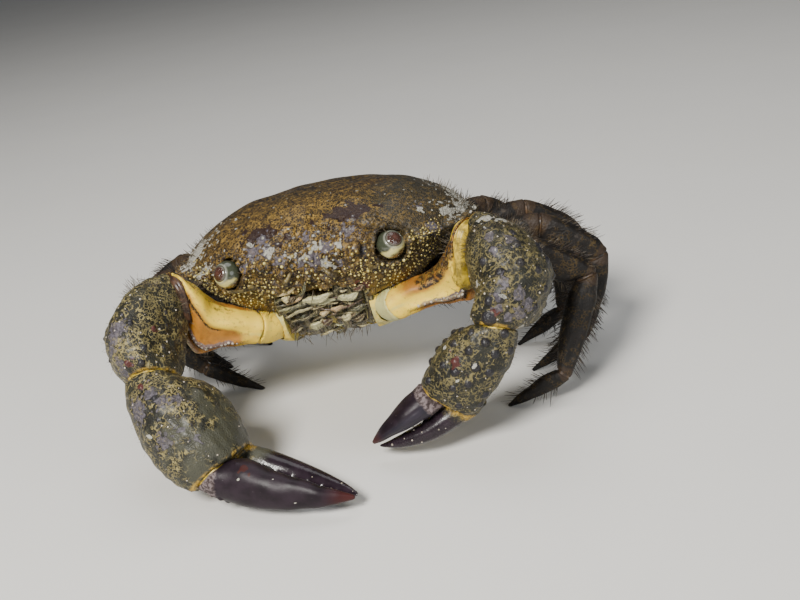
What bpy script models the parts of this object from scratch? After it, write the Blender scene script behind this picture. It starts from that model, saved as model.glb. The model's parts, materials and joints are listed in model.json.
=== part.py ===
"""A warty crab, life size, as a still model: every shell piece is its own closed solid.

The body is modelled level, in its own frame (x to the crab's left, y to its rear, z up), and is then
rolled, pitched and lifted on to its feet. Limbs are modelled where they stand, above a floor at z = 0.
Sizes are in millimetres, and meshes are scaled to metres as they are made.
"""

import math

import bmesh
import bpy
import numpy as np
from mathutils import Matrix, Vector
from mathutils.bvhtree import BVHTree

MM = 0.001
TAU = 2 * math.pi
RIGHT, LEFT = -1, 1  # the crab's own sides, as the sign of x
SIDE_NAMES = {RIGHT: "right", LEFT: "left"}

# The whole stance
GAP = 0.3  # left between pieces that meet
BODY_HEIGHT = 46.0  # of the carapace's edge over the floor
BODY_ROLL = math.radians(-5)  # the crab's left side is carried higher
BODY_PITCH = math.radians(-4)  # the face is carried higher than the rear
ORIGIN_SHIFT = Vector((-5.68, 12.99, 0.0))  # brings the middle of the footprint to the origin

# The carapace, in the body's frame
CARAPACE_HALF_WIDTH = 40.5
DOME_HEIGHT = 13.5
DOME_PEAK_Y = -3.0  # the highest point lies a little ahead of the middle
SHELL_FLOOR = -13.0  # where the carapace's folded sides end and the sternum begins
STERNUM_FLOOR = -24.0

# Edge of the carapace from the middle of the front round to the rear: x, y, height of the edge
CARAPACE_EDGE = (
    (0.0, -27.6, 1.6),
    (9.0, -28.6, 1.6),
    (16.0, -27.2, 1.4),
    (26.0, -24.6, 0.6),
    (33.5, -18.0, 0.2),
    (38.6, -9.5, 0.0),
    (CARAPACE_HALF_WIDTH, -1.5, 0.0),
    (38.0, 8.0, 0.6),
    (31.0, 18.5, 1.6),
    (21.0, 26.5, 2.6),
    (14.5, 28.8, 3.0),
    (0.0, 29.4, 3.2),
)
# Lower edge of its folded sides, where the sternum takes over
UNDER_EDGE = (
    (0.0, -20.5),
    (12.0, -21.0),
    (19.0, -18.5),
    (24.0, -11.0),
    (25.5, 0.0),
    (24.0, 9.0),
    (18.5, 18.0),
    (10.0, 22.5),
    (0.0, 23.5),
)

# Orbits and eyes
ORBIT = Vector((21.6, -25.0, 0.4))
ORBIT_RADIUS = 3.95
EYE_RADIUS = ORBIT_RADIUS - GAP
GAZE = {RIGHT: (0.46, -0.80, 0.40), LEFT: (0.52, -0.60, 0.61)}  # with x outward
CORNEA_PLANE = 2.4  # from the eye's centre to the flat under the cornea
CORNEA_RADIUS = 2.1
CORNEA_HEIGHT = 0.95

# Mouth: the pair of plates lies in a recess with a slanted back
MOUTH_TOP = Vector((0.0, -23.2, -7.0))
MOUTH_SLANT = math.atan2(10.0, 17.0)  # the plates lean back as they go down
MOUTH_HALF_WIDTH = 11.5
MOUTH_DEPTH = 2.6
MOUTH_LENGTH = 18.5

# Feelers: root, the corner their curve is drawn toward, tip, and their half thickness along the way
ANTENNA = ((14.8, -22.0, -3.4), (15.6, -28.6, -4.6), (19.5, -34.5, -1.5))
ANTENNA_THICKNESS = ((0, 1.15), (0.3, 1.1), (0.42, 0.55), (1, 0.3))
ANTENNULE = ((6.6, -22.5, -3.2), (7.4, -31.5, -5.0), (4.2, -28.8, -1.2))
ANTENNULE_THICKNESS = ((0, 1.0), (0.5, 0.85), (1, 0.4))

# Walking legs, front to rear. Hips are in the body's frame and the other points stand on the floor's.
# For each side: hip, knee, end of the carpus, end of the propodus, tip of the claw
LEGS = {
    LEFT: (
        ((22.5, -8.4, -18.5), (54.0, -12.0, 40.5), (68.5, -10.5, 31.0), (60.5, -21.0, 8.5), (45.0, -21.0, 0.0)),
        ((23.5, -0.5, -18.8), (57.5, 1.5, 42.0), (72.0, 2.5, 31.5), (66.0, 0.0, 9.5), (51.5, -1.0, 0.0)),
        ((22.5, 8.0, -18.6), (53.0, 17.5, 41.0), (66.0, 22.5, 31.0), (61.0, 19.5, 9.0), (47.0, 16.5, 0.0)),
        ((18.5, 16.0, -18.2), (40.0, 33.5, 38.5), (48.0, 41.5, 29.0), (45.0, 38.0, 8.5), (34.0, 31.5, 0.0)),
    ),
    RIGHT: (
        ((22.5, -8.4, -18.5), (47.0, -11.0, 34.5), (57.0, -10.0, 25.0), (48.0, -16.5, 7.5), (34.0, -17.0, 0.0)),
        ((23.5, -0.5, -18.8), (50.0, 1.5, 36.0), (59.5, 2.5, 25.5), (43.5, 1.5, 8.0), (27.0, 1.0, 0.0)),
        ((22.5, 8.0, -18.6), (49.0, 17.5, 35.0), (60.5, 22.5, 25.0), (55.0, 20.0, 8.0), (41.0, 17.5, 0.0)),
        ((18.5, 16.0, -18.2), (38.0, 33.5, 33.0), (46.5, 41.5, 24.0), (43.0, 38.5, 7.5), (32.0, 32.5, 0.0)),
    ),
}
# Half width and half height of a leg's joint faces, from the hip to the tip
LEG_FACES = ((2.7, 3.9), (2.9, 3.6), (2.6, 3.3), (1.9, 2.2), (0.55, 0.55))
# How a leg's four lengths swell between their faces: position, half width, half height
LEG_SWELL = (
    ((0.12, 3.0, 4.5), (0.45, 3.4, 5.6), (0.85, 3.4, 5.0)),
    ((0.3, 3.4, 4.3), (0.75, 3.4, 4.5)),
    ((0.2, 3.1, 4.0), (0.6, 2.9, 3.6)),
    ((0.25, 1.9, 2.4), (0.65, 1.35, 1.6)),
)
LEG_LENGTHS = ("merus", "carpus", "propodus", "dactylus")

# Claw arms: root and hip in the body's frame; elbow, wrist, end of the palm and the fingers' ends
# on the floor's, with x outward. Dorsal is the way the moving finger's side of the palm faces, and a
# finger's swing is the share of its length by which it bows outward, away from the mouth.
ARMS = {
    RIGHT: {
        "root": (14.0, -12.5, -18.2),
        "hip": (19.5, -21.0, -16.0),
        "elbow": (35.0, -29.0, 41.0),
        "wrist": (39.0, -48.0, 29.4),
        "palm_end": (22.3, -57.2, 8.7),
        "finger_tip": (-11.8, -67.2, 4.5),
        "dorsal": (0.35, -0.85, 0.40),
        "merus": (
            (0.3, 5.0, 5.3, 0, -2.0), (0.6, 5.8, 7.4, 0, -4.4), (0.85, 6.0, 8.4, 0, -2.0), (1, 6.0, 7.4, 0, 1.4),
        ),
        "carpus": (
            (0, 5.0, 8.8, 1.5, 0), (0.25, 7.6, 11.4, 4.5, 0.6), (0.6, 9.6, 12.2, 5.4, 0.4),
            (0.85, 7.8, 9.6, 2.6, 0),
        ),
        "carpus_narrowing": 0.2,
        "palm": (
            (0, 5.8, 6.6), (0.25, 9.4, 10.0, 0.1, 0), (0.58, 10.9, 12.0, 0.4, 0), (0.86, 9.9, 11.2, 0.5, 0),
            (1, 8.2, 9.6, 0.4, 0),
        ),
        "finger": 5.2,
        "finger_width": 5.8,
        "swing": 0.02,
        "fixed_bow": 1.0,
        "fixed_swing": 0.02,
        "carpus_warts": (
            (25, 4, 0.30, 0.82, 1.0, 0.6), (65, 4, 0.30, 0.82, 1.0, 0.6), (110, 4, 0.30, 0.82, 1.0, 0.6),
        ),
        "palm_warts": ((75, 3, 0.15, 0.55, 0.9, 0.5), (110, 3, 0.15, 0.5, 0.9, 0.5)),
    },
    LEFT: {
        "root": (14.0, -12.5, -18.2),
        "hip": (19.5, -21.0, -16.0),
        "elbow": (40.8, -27.2, 46.4),
        "wrist": (46.5, -42.5, 33.0),
        "palm_end": (32.4, -42.0, 15.2),
        "finger_tip": (13.4, -45.0, 5.0),
        "dorsal": (-0.69, -0.19, 0.74),
        "merus": (
            (0.3, 4.2, 4.1, 1.0, -1.7), (0.6, 4.4, 5.8, 1.5, -3.8), (0.85, 5.2, 8.2, 0.8, -2.8), (1, 6.0, 9.8),
        ),
        "carpus": (
            (0, 3.8, 9.4, 3.2, 0), (0.25, 8.4, 12.4, 6.2, 0.6), (0.55, 9.8, 12.6, 7.8, 0.4),
            (0.85, 8.4, 9.6, 3.2, 0),
        ),
        "carpus_narrowing": 0.0,
        "palm": ((0, 4.8, 5.4), (0.25, 6.8, 7.4), (0.6, 7.6, 8.5), (0.88, 6.8, 8.1), (1, 5.6, 7.4)),
        "finger": 4.1,
        "finger_width": 4.4,
        "swing": 0.085,
        "fixed_bow": 0.7,
        "fixed_swing": 0.085,
        "carpus_warts": (
            (-15, 4, 0.38, 0.85, 1.2, 0.85), (25, 4, 0.32, 0.85, 1.25, 0.9),
            (65, 4, 0.30, 0.85, 1.25, 0.9), (110, 4, 0.32, 0.82, 1.2, 0.85),
        ),
        "palm_warts": (
            (-40, 4, 0.18, 0.85, 1.25, 0.9), (-5, 4, 0.15, 0.88, 1.3, 1.0), (30, 4, 0.15, 0.88, 1.3, 1.0),
            (68, 4, 0.15, 0.88, 1.25, 1.0), (104, 4, 0.15, 0.82, 1.2, 0.9),
        ),
    },
}
ARM_ROOT = (4.1, 4.0)
ARM_HIP = (4.5, 4.1)
FINGER_BOW = 0.055  # share of its length by which a finger bows off the line to its tip

# Spines, beads and warts
EDGE_SPINES = 7  # along each side of the carapace, outward from the orbit
EDGE_SPINE = (1.35, 2.6)  # radius at the root, height
FRONT_SPINES = 6  # on each half of the front
FRONT_SPINE = (0.95, 1.6)
ORBIT_SPINES = 4  # over each eye, and as many below it
ORBIT_SPINE = (0.72, 1.25)
BROW_BEADS = 7  # on each half of the row that crosses the carapace behind the front
BROW_BEAD = (0.85, 0.9)
TOOTH = (0.34, 0.16)  # a claw tooth's radius and height as shares of the finger's half height there
ROOT_DEPTH = 0.9  # by which they are sunk

COLOURS = {
    "shell": ((0.17, 0.11, 0.055), 0.5),
    "belly": ((0.62, 0.45, 0.20), 0.45),
    "arm_inside": ((0.72, 0.36, 0.08), 0.45),
    "mouthparts": ((0.16, 0.14, 0.07), 0.5),
    "eyestalk": ((0.48, 0.43, 0.26), 0.25),
    "cornea": ((0.13, 0.04, 0.025), 0.1),
    "feeler": ((0.28, 0.15, 0.07), 0.5),
    "claw": ((0.045, 0.025, 0.035), 0.25),
    "leg": ((0.20, 0.12, 0.06), 0.55),
    "leg_tip": ((0.10, 0.06, 0.035), 0.4),
}


def clear_scene():
    for thing in list(bpy.data.objects):
        bpy.data.objects.remove(thing, do_unlink=True)


def make_material(slot):
    colour, roughness = COLOURS[slot]
    material = bpy.data.materials.new(slot)
    material.use_nodes = True
    shader = material.node_tree.nodes["Principled BSDF"]
    shader.inputs["Base Color"].default_value = (*colour, 1.0)
    shader.inputs["Roughness"].default_value = roughness
    shader.inputs["Metallic"].default_value = 0.0
    material.diffuse_color = (*colour, 1.0)
    return material


def unit(vector):
    vector = np.asarray(vector, float)
    return vector / np.linalg.norm(vector)


def through(keys, at):
    """A curve through the rows of keys (position, values...), with no overshoot, read at the positions given."""
    keys = np.array(keys, float)
    place, value = keys[:, 0], keys[:, 1:]
    step = np.diff(place)[:, None]
    slope = np.diff(value, axis=0) / step
    before, after = slope[:-1], slope[1:]
    rising = before * after > 0
    both = np.where(rising, before + after, 1.0)
    tangent = np.vstack([slope[:1], np.where(rising, 2 * before * after / both, 0.0), slope[-1:]])
    at = np.clip(np.atleast_1d(np.asarray(at, float)), place[0], place[-1])
    cell = np.clip(np.searchsorted(place, at, side="right") - 1, 0, len(place) - 2)
    span = step[cell]
    share = ((at - place[cell]) / span[:, 0])[:, None]
    lead, trail = share**2 * (3 - 2 * share), share * (1 - share)
    return (
        value[cell] * (1 - lead)
        + value[cell + 1] * lead
        + span * trail * (tangent[cell] * (1 - share) - tangent[cell + 1] * share)
    )


def body_matrix():
    return (
        Matrix.Translation((0, 0, BODY_HEIGHT))
        @ Matrix.Rotation(BODY_ROLL, 4, "Y")
        @ Matrix.Rotation(BODY_PITCH, 4, "X")
    )


def from_body(point):
    """A point of the body's frame, where it stands over the floor."""
    return np.array(body_matrix() @ Vector(point))


def mirrored(point, side):
    return np.array([point[0] * side, point[1], point[2]], float)


def oval(sides, power):
    """The unit outline of a rounded oblong, as the section of most limbs."""
    angle = (np.arange(sides) + 0.5) * TAU / sides
    across, along = np.cos(angle), np.sin(angle)
    return (
        np.sign(across) * np.abs(across) ** (2 / power),
        np.sign(along) * np.abs(along) ** (2 / power),
    )


class Segment:
    """One length of a limb: rounded sections along a line, with flat ends that lie in the joints' planes."""

    BLEND = 0.35  # share of the length over which a section turns from the joint's plane to the line's

    def __init__(
        self, start, end, aside, above, keys, start_face=None, end_face=None, power=2.3, narrowing=0.0
    ):
        self.narrowing = narrowing  # share by which the upper side is slimmer than the middle
        self.start, self.end = np.asarray(start, float), np.asarray(end, float)
        self.axis = unit(self.end - self.start)
        self.aside = np.asarray(aside, float)
        self.keys = [tuple(row) + (0.0,) * (5 - len(row)) for row in keys]
        self.start_face = self.axis if start_face is None else unit(start_face)
        self.end_face = self.axis if end_face is None else unit(end_face)
        self.power = power
        level = np.cross(self.axis, self.aside)
        self.hand = 1.0 if level @ np.asarray(above, float) > 0 else -1.0

    def frame(self, at):
        """Centre, side and up of the section at this share of the length, and its half sizes."""
        near_start = max(0.0, 1 - at / self.BLEND)
        near_end = max(0.0, 1 - (1 - at) / self.BLEND)
        normal = unit(
            self.axis
            + (self.start_face - self.axis) * near_start
            + (self.end_face - self.axis) * near_end
        )
        aside = unit(self.aside - normal * (self.aside @ normal))
        up = np.cross(normal, aside) * self.hand
        half_width, half_height, shift_aside, shift_up = through(self.keys, at)[0]
        centre = self.start + (self.end - self.start) * at + aside * shift_aside + up * shift_up
        return centre, aside, up, half_width, half_height

    def rings(self, count, sides, grow=0.0):
        across, along = oval(sides, self.power)
        rows = []
        for order, at in enumerate(np.linspace(0, 1, count)):
            centre, aside, up, half_width, half_height = self.frame(at)
            points = (
                centre
                + np.outer(across * (half_width * (1 - self.narrowing * along) + grow), aside)
                + np.outer(along * (half_height + grow), up)
            )
            # no point may pass either joint's plane
            for end, face, near in (
                (self.start, self.start_face, order),
                (self.end, -self.end_face, count - 1 - order),
            ):
                within = (points - end) @ face
                least = 0.12 * near - grow
                keep = np.full(len(points), least) if near == 0 else np.maximum(within, least)
                points = points + np.outer(keep - within, face)
            rows.append(points)
        return np.array(rows)

    def surface(self, at, turn):
        """A point of the side surface at this share and angle, and the way out of it."""
        centre, aside, up, half_width, half_height = self.frame(at)
        across, along = math.cos(turn), math.sin(turn)
        power = 2 / self.power
        b = math.copysign(abs(along) ** power, along) * half_height
        a = math.copysign(abs(across) ** power, across) * half_width
        a *= 1 - self.narrowing * b / half_height
        out = unit(aside * (across / half_width) + up * (along / half_height))
        return centre + aside * a + up * b, out


def skin(rows):
    """Closed faces over rings of points, with a flat cap at each end."""
    rows = np.asarray(rows, float)
    count, sides = rows.shape[:2]
    faces = [
        (i * sides + j, i * sides + (j + 1) % sides, (i + 1) * sides + (j + 1) % sides, (i + 1) * sides + j)
        for i in range(count - 1)
        for j in range(sides)
    ]
    faces.append(tuple(range(sides))[::-1])
    faces.append(tuple((count - 1) * sides + j for j in range(sides)))
    return rows.reshape(-1, 3), faces


def ball(centre, radii, rings=8, sides=12, frame=None):
    """An ellipsoid from rings of points and two poles."""
    turn = np.eye(3) if frame is None else np.asarray(frame, float)
    points = [[0, 0, 1]]
    for i in range(1, rings):
        polar = math.pi * i / rings
        for j in range(sides):
            turned = TAU * j / sides
            points.append(
                [math.sin(polar) * math.cos(turned), math.sin(polar) * math.sin(turned), math.cos(polar)]
            )
    points.append([0, 0, -1])
    last = len(points) - 1
    faces = [(0, 1 + j, 1 + (j + 1) % sides) for j in range(sides)]
    for i in range(rings - 2):
        low, high = 1 + i * sides, 1 + (i + 1) * sides
        faces += [
            (low + j, high + j, high + (j + 1) % sides, low + (j + 1) % sides) for j in range(sides)
        ]
    low = 1 + (rings - 2) * sides
    faces += [(low + j, last, low + (j + 1) % sides) for j in range(sides)]
    return np.array(points) * np.asarray(radii, float) @ turn.T + np.asarray(centre, float), faces


def make_object(name, points, faces, material=None, parent=None):
    mesh = bpy.data.meshes.new(name)
    mesh.from_pydata([tuple(p) for p in np.asarray(points, float) * MM], [], faces)
    work = bmesh.new()
    work.from_mesh(mesh)
    bmesh.ops.recalc_face_normals(work, faces=work.faces)
    work.to_mesh(mesh)
    work.free()
    thing = bpy.data.objects.new(name, mesh)
    bpy.context.scene.collection.objects.link(thing)
    if material is not None:
        mesh.materials.append(material)
    if parent is not None:
        thing.parent = parent
    return thing


def largest_shell(mesh):
    """Drops every loose surface of a mesh but the one that holds the most."""
    work = bmesh.new()
    work.from_mesh(mesh)
    bmesh.ops.triangulate(work, faces=work.faces)
    left, shells = set(work.faces), []
    while left:
        grown, edge = set(), [left.pop()]
        while edge:
            face = edge.pop()
            grown.add(face)
            for side in face.edges:
                for other in side.link_faces:
                    if other in left:
                        left.discard(other)
                        edge.append(other)
        shells.append(grown)
    def held(shell):
        return sum(
            face.verts[0].co.dot(face.verts[1].co.cross(face.verts[2].co)) for face in shell
        )
    keep = max(shells, key=held)
    bmesh.ops.delete(work, geom=[f for f in work.faces if f not in keep], context="FACES")
    work.to_mesh(mesh)
    work.free()


def combine(thing, pieces, operation="UNION", solver="EXACT"):
    """Joins closed pieces to an object, or cuts them out of it, and keeps its largest closed surface."""
    if not pieces:
        return thing
    group = bpy.data.collections.new("pieces")
    bpy.context.scene.collection.children.link(group)
    for piece in pieces:
        for holder in list(piece.users_collection):
            holder.objects.unlink(piece)
        group.objects.link(piece)
    boolean = thing.modifiers.new("combine", "BOOLEAN")
    boolean.operation = operation
    boolean.operand_type = "COLLECTION"
    boolean.collection = group
    boolean.solver = solver
    bpy.context.view_layer.update()
    graph = bpy.context.evaluated_depsgraph_get()
    made = bpy.data.meshes.new_from_object(thing.evaluated_get(graph))
    thing.modifiers.clear()
    materials = [m for m in thing.data.materials][:1]
    old, thing.data = thing.data, made
    bpy.data.meshes.remove(old)
    made.name = thing.name
    made.materials.clear()
    for material in materials:
        made.materials.append(material)
    for piece in pieces:
        bpy.data.objects.remove(piece, do_unlink=True)
    bpy.data.collections.remove(group)
    largest_shell(made)
    return thing


def finish(thing, angle=35):
    thing.data.shade_smooth()
    thing.data.set_sharp_from_angle(angle=math.radians(angle))
    return thing


def whole_edge(points):
    """Both halves of an outline that is given for the crab's left, by angle from the front."""
    points = np.array(points, float)
    angle = np.arctan2(points[:, 0], -(points[:, 1] - DOME_PEAK_Y))
    reach = np.hypot(points[:, 0], points[:, 1] - DOME_PEAK_Y)
    rows = np.column_stack([angle, reach, *points[:, 2:].T])
    other = rows[1:-1][::-1].copy()
    other[:, 0] = TAU - other[:, 0]
    last = rows[0].copy()
    last[0] = TAU
    return np.vstack([rows, other, last])


def relief(x, y):
    """Low swellings and grooves that part the carapace into its regions."""
    def bump(x0, y0, wide, long, high):
        return high * np.exp(-(((np.abs(x) - x0) / wide) ** 2) - ((y - y0) / long) ** 2)
    swell = (
        bump(4.8, -22.5, 3.6, 2.6, 0.9)
        + bump(11.5, -16.0, 5.5, 4.5, 0.8)
        + bump(27.0, -14.0, 5.5, 4.5, 0.6)
        + bump(25.0, 3.0, 8.0, 9.0, 0.7)
        + bump(0.0, 10.0, 6.0, 6.0, 0.4)
    )
    groove = (
        bump(0.0, -23.0, 1.3, 6.0, 0.7)
        + bump(19.0, -13.0, 2.0, 5.0, 0.7)
        + bump(10.5, 3.5, 2.2, 5.5, 0.7)
    )
    return swell - groove


def carapace_rows(columns, top_rows, under_rows):
    """Rings of the carapace from its peak over the edge and down its folded sides, in the body's frame."""
    edge = whole_edge(CARAPACE_EDGE)
    under = whole_edge(UNDER_EDGE)
    angle = (np.arange(columns) + 0.5) * TAU / columns
    angle = angle - 0.22 * np.sin(2 * angle) * 0.5 - 0.20 * np.sin(angle)  # closer columns at the face
    reach, edge_height = through(edge, angle).T
    reach_under = through(under, angle)[:, 0]
    away = np.column_stack([np.sin(angle), -np.cos(angle)])
    frontness = np.clip(np.cos(angle), 0, 1)
    rows = []
    for share in np.linspace(0, 1, top_rows + 1)[1:]:
        share = share**0.85
        x, y = (away * (reach * share)[:, None]).T
        y = y + DOME_PEAK_Y
        fall = (1 - share ** (2.7 - 0.5 * frontness)) ** 0.82
        height = edge_height + (DOME_HEIGHT - edge_height) * fall
        rows.append(np.column_stack([x, y, height + relief(x, y) * (1 - share**6)]))
    for share in np.linspace(0, 1, under_rows + 1)[1:]:
        tuck = share ** (1.15 + 0.9 * frontness)
        out = reach + (reach_under - reach) * tuck
        x, y = (away * out[:, None]).T
        height = edge_height + (SHELL_FLOOR - edge_height) * share
        rows.append(np.column_stack([x, y + DOME_PEAK_Y, height]))
    return np.array(rows)


def mouth_frame():
    """Down along the mouth's slanted plates, and out of them."""
    down = np.array([0, math.sin(MOUTH_SLANT), -math.cos(MOUTH_SLANT)])
    out = np.array([0, -math.cos(MOUTH_SLANT), -math.sin(MOUTH_SLANT)])
    return down, out


def block(name, centre, half_sizes, frame):
    """A box of the body's frame with its own axes, for cutting."""
    corners = [(a, b, c) for a in (-1, 1) for b in (-1, 1) for c in (-1, 1)]
    points = [np.asarray(centre) + (np.array(k) * half_sizes) @ np.asarray(frame) for k in corners]
    points = in_body(points)
    faces = [(0, 1, 3, 2), (4, 6, 7, 5), (0, 4, 5, 1), (2, 3, 7, 6), (0, 2, 6, 4), (1, 5, 7, 3)]
    return make_object(name, points, faces)


def mouth_recess():
    down, out = mouth_frame()
    depth = 12.0
    middle = np.array(MOUTH_TOP) + down * (MOUTH_LENGTH / 2 + 1.0) + out * (depth - MOUTH_DEPTH)
    across = np.array([1.0, 0, 0])
    half = (MOUTH_HALF_WIDTH + GAP, MOUTH_LENGTH / 2 + 1.0 + GAP, depth)
    return block("mouth_recess", middle, half, (across, down, out))


def arm_segments(side):
    """The lengths of a claw arm from its root in the body to the wrist, and the wrist's plane."""
    arm = ARMS[side]
    root, hip = (from_body(mirrored(arm[key], side)) for key in ("root", "hip"))
    elbow, wrist, palm_end = (mirrored(arm[key], side) for key in ("elbow", "wrist", "palm_end"))
    half = GAP / 2
    hip_face = unit(unit(hip - root) + unit(elbow - hip))
    elbow_face = unit(unit(elbow - hip) + unit(wrist - elbow))
    wrist_face = unit(unit(wrist - elbow) + unit(palm_end - wrist))
    back, up, outward = np.eye(3)[1], np.eye(3)[2], np.array([side, 0.0, 0.0])
    base = Segment(
        root, hip - hip_face * half, back, up,
        ((0, *ARM_ROOT), (0.6, 4.9, 4.7), (1, *ARM_HIP)),
        end_face=hip_face,
    )
    merus = Segment(
        hip + hip_face * half, elbow - elbow_face * half, back, up,
        ((0, *ARM_HIP), *arm["merus"]), start_face=hip_face, end_face=elbow_face, power=2.8,
    )
    carpus = Segment(
        elbow + elbow_face * half, wrist - wrist_face * half, outward, up,
        (*arm["carpus"], (1, *arm["palm"][0][1:])),
        start_face=elbow_face, end_face=wrist_face, power=2.15, narrowing=arm["carpus_narrowing"],
    )
    return base, merus, carpus, wrist_face


def claw_segments(side, wrist_face):
    """The palm, the finger fixed to it and the moving finger."""
    arm = ARMS[side]
    wrist, end, tip = (mirrored(arm[key], side) for key in ("wrist", "palm_end", "finger_tip"))
    axis = unit(end - wrist)
    dorsal = mirrored(arm["dorsal"], side)
    dorsal = unit(dorsal - axis * (dorsal @ axis))
    outer = np.cross(axis, dorsal) * -side
    palm = Segment(
        wrist + wrist_face * GAP / 2, end, outer, dorsal, arm["palm"], wrist_face, axis, 2.25
    )
    height = arm["palm"][-1][2]
    thick, wide = arm["finger"], arm["finger_width"]
    reach = np.linalg.norm(tip - end)
    forward = unit(tip - end)
    bow, swing = reach * FINGER_BOW, reach * arm["swing"]
    mover = Segment(
        end + axis * GAP + dorsal * (height - thick * 0.98), tip + dorsal * 0.9, outer, dorsal,
        (
            (0, wide * 0.94, thick * 0.94, 0, 0),
            (0.16, wide, thick * 0.90, swing * 0.4, bow * 0.35),
            (0.5, wide * 0.76, thick * 0.66, swing, bow),
            (0.8, wide * 0.43, thick * 0.37, swing * 0.72, bow * 0.8),
            (0.95, wide * 0.19, thick * 0.17, swing * 0.22, bow * 0.25),
            (1, 0.45, 0.45, 0, 0),
        ),
        start_face=axis, end_face=forward, power=2.2,
    )
    below = end - dorsal * (height - thick * 0.78)
    low_tip = tip - dorsal * 0.9
    bow, swing = bow * arm["fixed_bow"], reach * arm["fixed_swing"]
    fixed = Segment(
        below - unit(low_tip - below) * 4.0, low_tip, outer, dorsal,
        (
            (0, wide * 0.85, thick * 0.82, 0, 0),
            (0.25, wide * 0.84, thick * 0.78, swing * 0.5, -bow * 0.7),
            (0.55, wide * 0.66, thick * 0.60, swing, -bow * 1.5),
            (0.82, wide * 0.38, thick * 0.36, swing * 0.68, -bow),
            (0.96, wide * 0.17, thick * 0.16, swing * 0.2, -bow * 0.3),
            (1, 0.45, 0.45, 0, 0),
        ),
        start_face=axis, end_face=forward, power=2.2,
    )
    return palm, fixed, mover


def spike(point, out, size, lean=(0.0, 0.0, 0.0), sides=6):
    """A closed cone with a fuller root, sunk into the surface it grows from."""
    radius, height = size
    out = unit(out)
    aside = unit(np.cross(out, [0.31, 0.52, 0.79]))
    up = np.cross(out, aside)
    turn = np.arange(sides) * TAU / sides
    rim = np.outer(np.cos(turn), aside) + np.outer(np.sin(turn), up)
    rows = [
        np.asarray(point) + out * lift + np.asarray(lean) * max(lift, 0) ** 2 / height + rim * radius * wide
        for lift, wide in ((-ROOT_DEPTH, 1.0), (height * 0.45, 0.68), (height, 0.13))
    ]
    return np.array(rows)


def knob(point, out, size, sides=5):
    """A closed, rounded wart, sunk into the surface it grows from."""
    radius, height = size
    out = unit(out)
    aside = unit(np.cross(out, [0.31, 0.52, 0.79]))
    up = np.cross(out, aside)
    turn = np.arange(sides) * TAU / sides
    rim = np.outer(np.cos(turn), aside) + np.outer(np.sin(turn), up)
    rows = [
        np.asarray(point) + out * lift + rim * radius * wide
        for lift, wide in ((-ROOT_DEPTH, 1.0), (height * 0.35, 0.93), (height, 0.5))
    ]
    return np.array(rows)


def warts_over(segment, rows):
    """Warts in rows along a limb: angle round it, count, first and last place, radius, height."""
    made = []
    for order, (turn, count, first, last, radius, height) in enumerate(rows):
        for k in range(count):
            at = first + (last - first) * (k + 0.5 * (order % 2)) / max(count - 0.5, 1)
            point, out = segment.surface(at, math.radians(turn + 7 * (k % 2)))
            made.append(solid("wart", knob(point, out, (radius, height))))
    return made


def teeth(segment, turn, first):
    """Blunt teeth on the biting edge of a finger."""
    made = []
    for k in range(4):
        at = first + 0.13 * k
        point, out = segment.surface(at, math.radians(turn))
        size = segment.frame(at)[4]
        made.append(solid("tooth", knob(point, out, (size * TOOTH[0], size * TOOTH[1]))))
    return made


def leg_segments(side, points):
    """The four lengths of a walking leg, with flat faces in the planes that halve its bends."""
    hip = from_body(mirrored(points[0], side))
    joints = [hip] + [mirrored(point, side) for point in points[1:]]
    root = from_body(mirrored((points[0][0] - 5.0, points[0][1] * 0.86, points[0][2]), side))
    run = [root] + joints
    ways = [unit(b - a) for a, b in zip(run, run[1:])]
    outward = joints[1] - hip
    outward[2] = 0
    outward = unit(outward)
    above = outward * 0.6 + np.array([0, 0, 0.8])
    across = np.cross(outward, np.array([0, 0, 1.0]))
    faces = [unit(a + b) for a, b in zip(ways, ways[1:])]
    segments = []
    for k in range(4):
        start, end = joints[k], joints[k + 1]
        first = root if k == 0 else start + faces[k] * (GAP / 2)
        last = end if k == 3 else end - faces[k + 1] * (GAP / 2)
        keys = [(0, *LEG_FACES[k]), *LEG_SWELL[k], (1, *LEG_FACES[k + 1])]
        segments.append(
            Segment(
                first, last, across, above, keys,
                start_face=ways[0] if k == 0 else faces[k],
                end_face=ways[k + 1] if k == 3 else faces[k + 1],
                power=2.4 if k == 0 else 2.2,
            )
        )
    return segments


def cut_at_floor(thing):
    """Leaves a small flat where a foot reaches the floor."""
    work = bmesh.new()
    work.from_mesh(thing.data)
    cut = bmesh.ops.bisect_plane(
        work, geom=work.verts[:] + work.edges[:] + work.faces[:], dist=1e-7,
        plane_co=(0, 0, 0), plane_no=(0, 0, -1), clear_outer=True,
    )
    rim = [e for e in cut["geom_cut"] if isinstance(e, bmesh.types.BMEdge)]
    if rim:
        bmesh.ops.edgeloop_fill(work, edges=rim)
        bmesh.ops.recalc_face_normals(work, faces=work.faces)
    work.to_mesh(thing.data)
    work.free()
    return thing


def revolved(profile, centre, axis, sides):
    """Rings of a round piece: distances along its axis and radii."""
    axis = unit(axis)
    aside = unit(np.cross(axis, [0.0, 0.0, 1.0]))
    up = np.cross(aside, axis)
    turn = (np.arange(sides) + 0.5) * TAU / sides
    return np.array([
        np.asarray(centre) + axis * along + np.outer(np.cos(turn) * radius, aside)
        + np.outer(np.sin(turn) * radius, up)
        for along, radius in profile
    ])


def solid(name, rows, material=None, parent=None):
    return make_object(name, *skin(rows), material, parent)


def in_body(points):
    """Points of the body's frame, where they stand over the floor."""
    matrix = np.array(body_matrix())
    return np.asarray(points, float) @ matrix[:3, :3].T + matrix[:3, 3]


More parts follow.
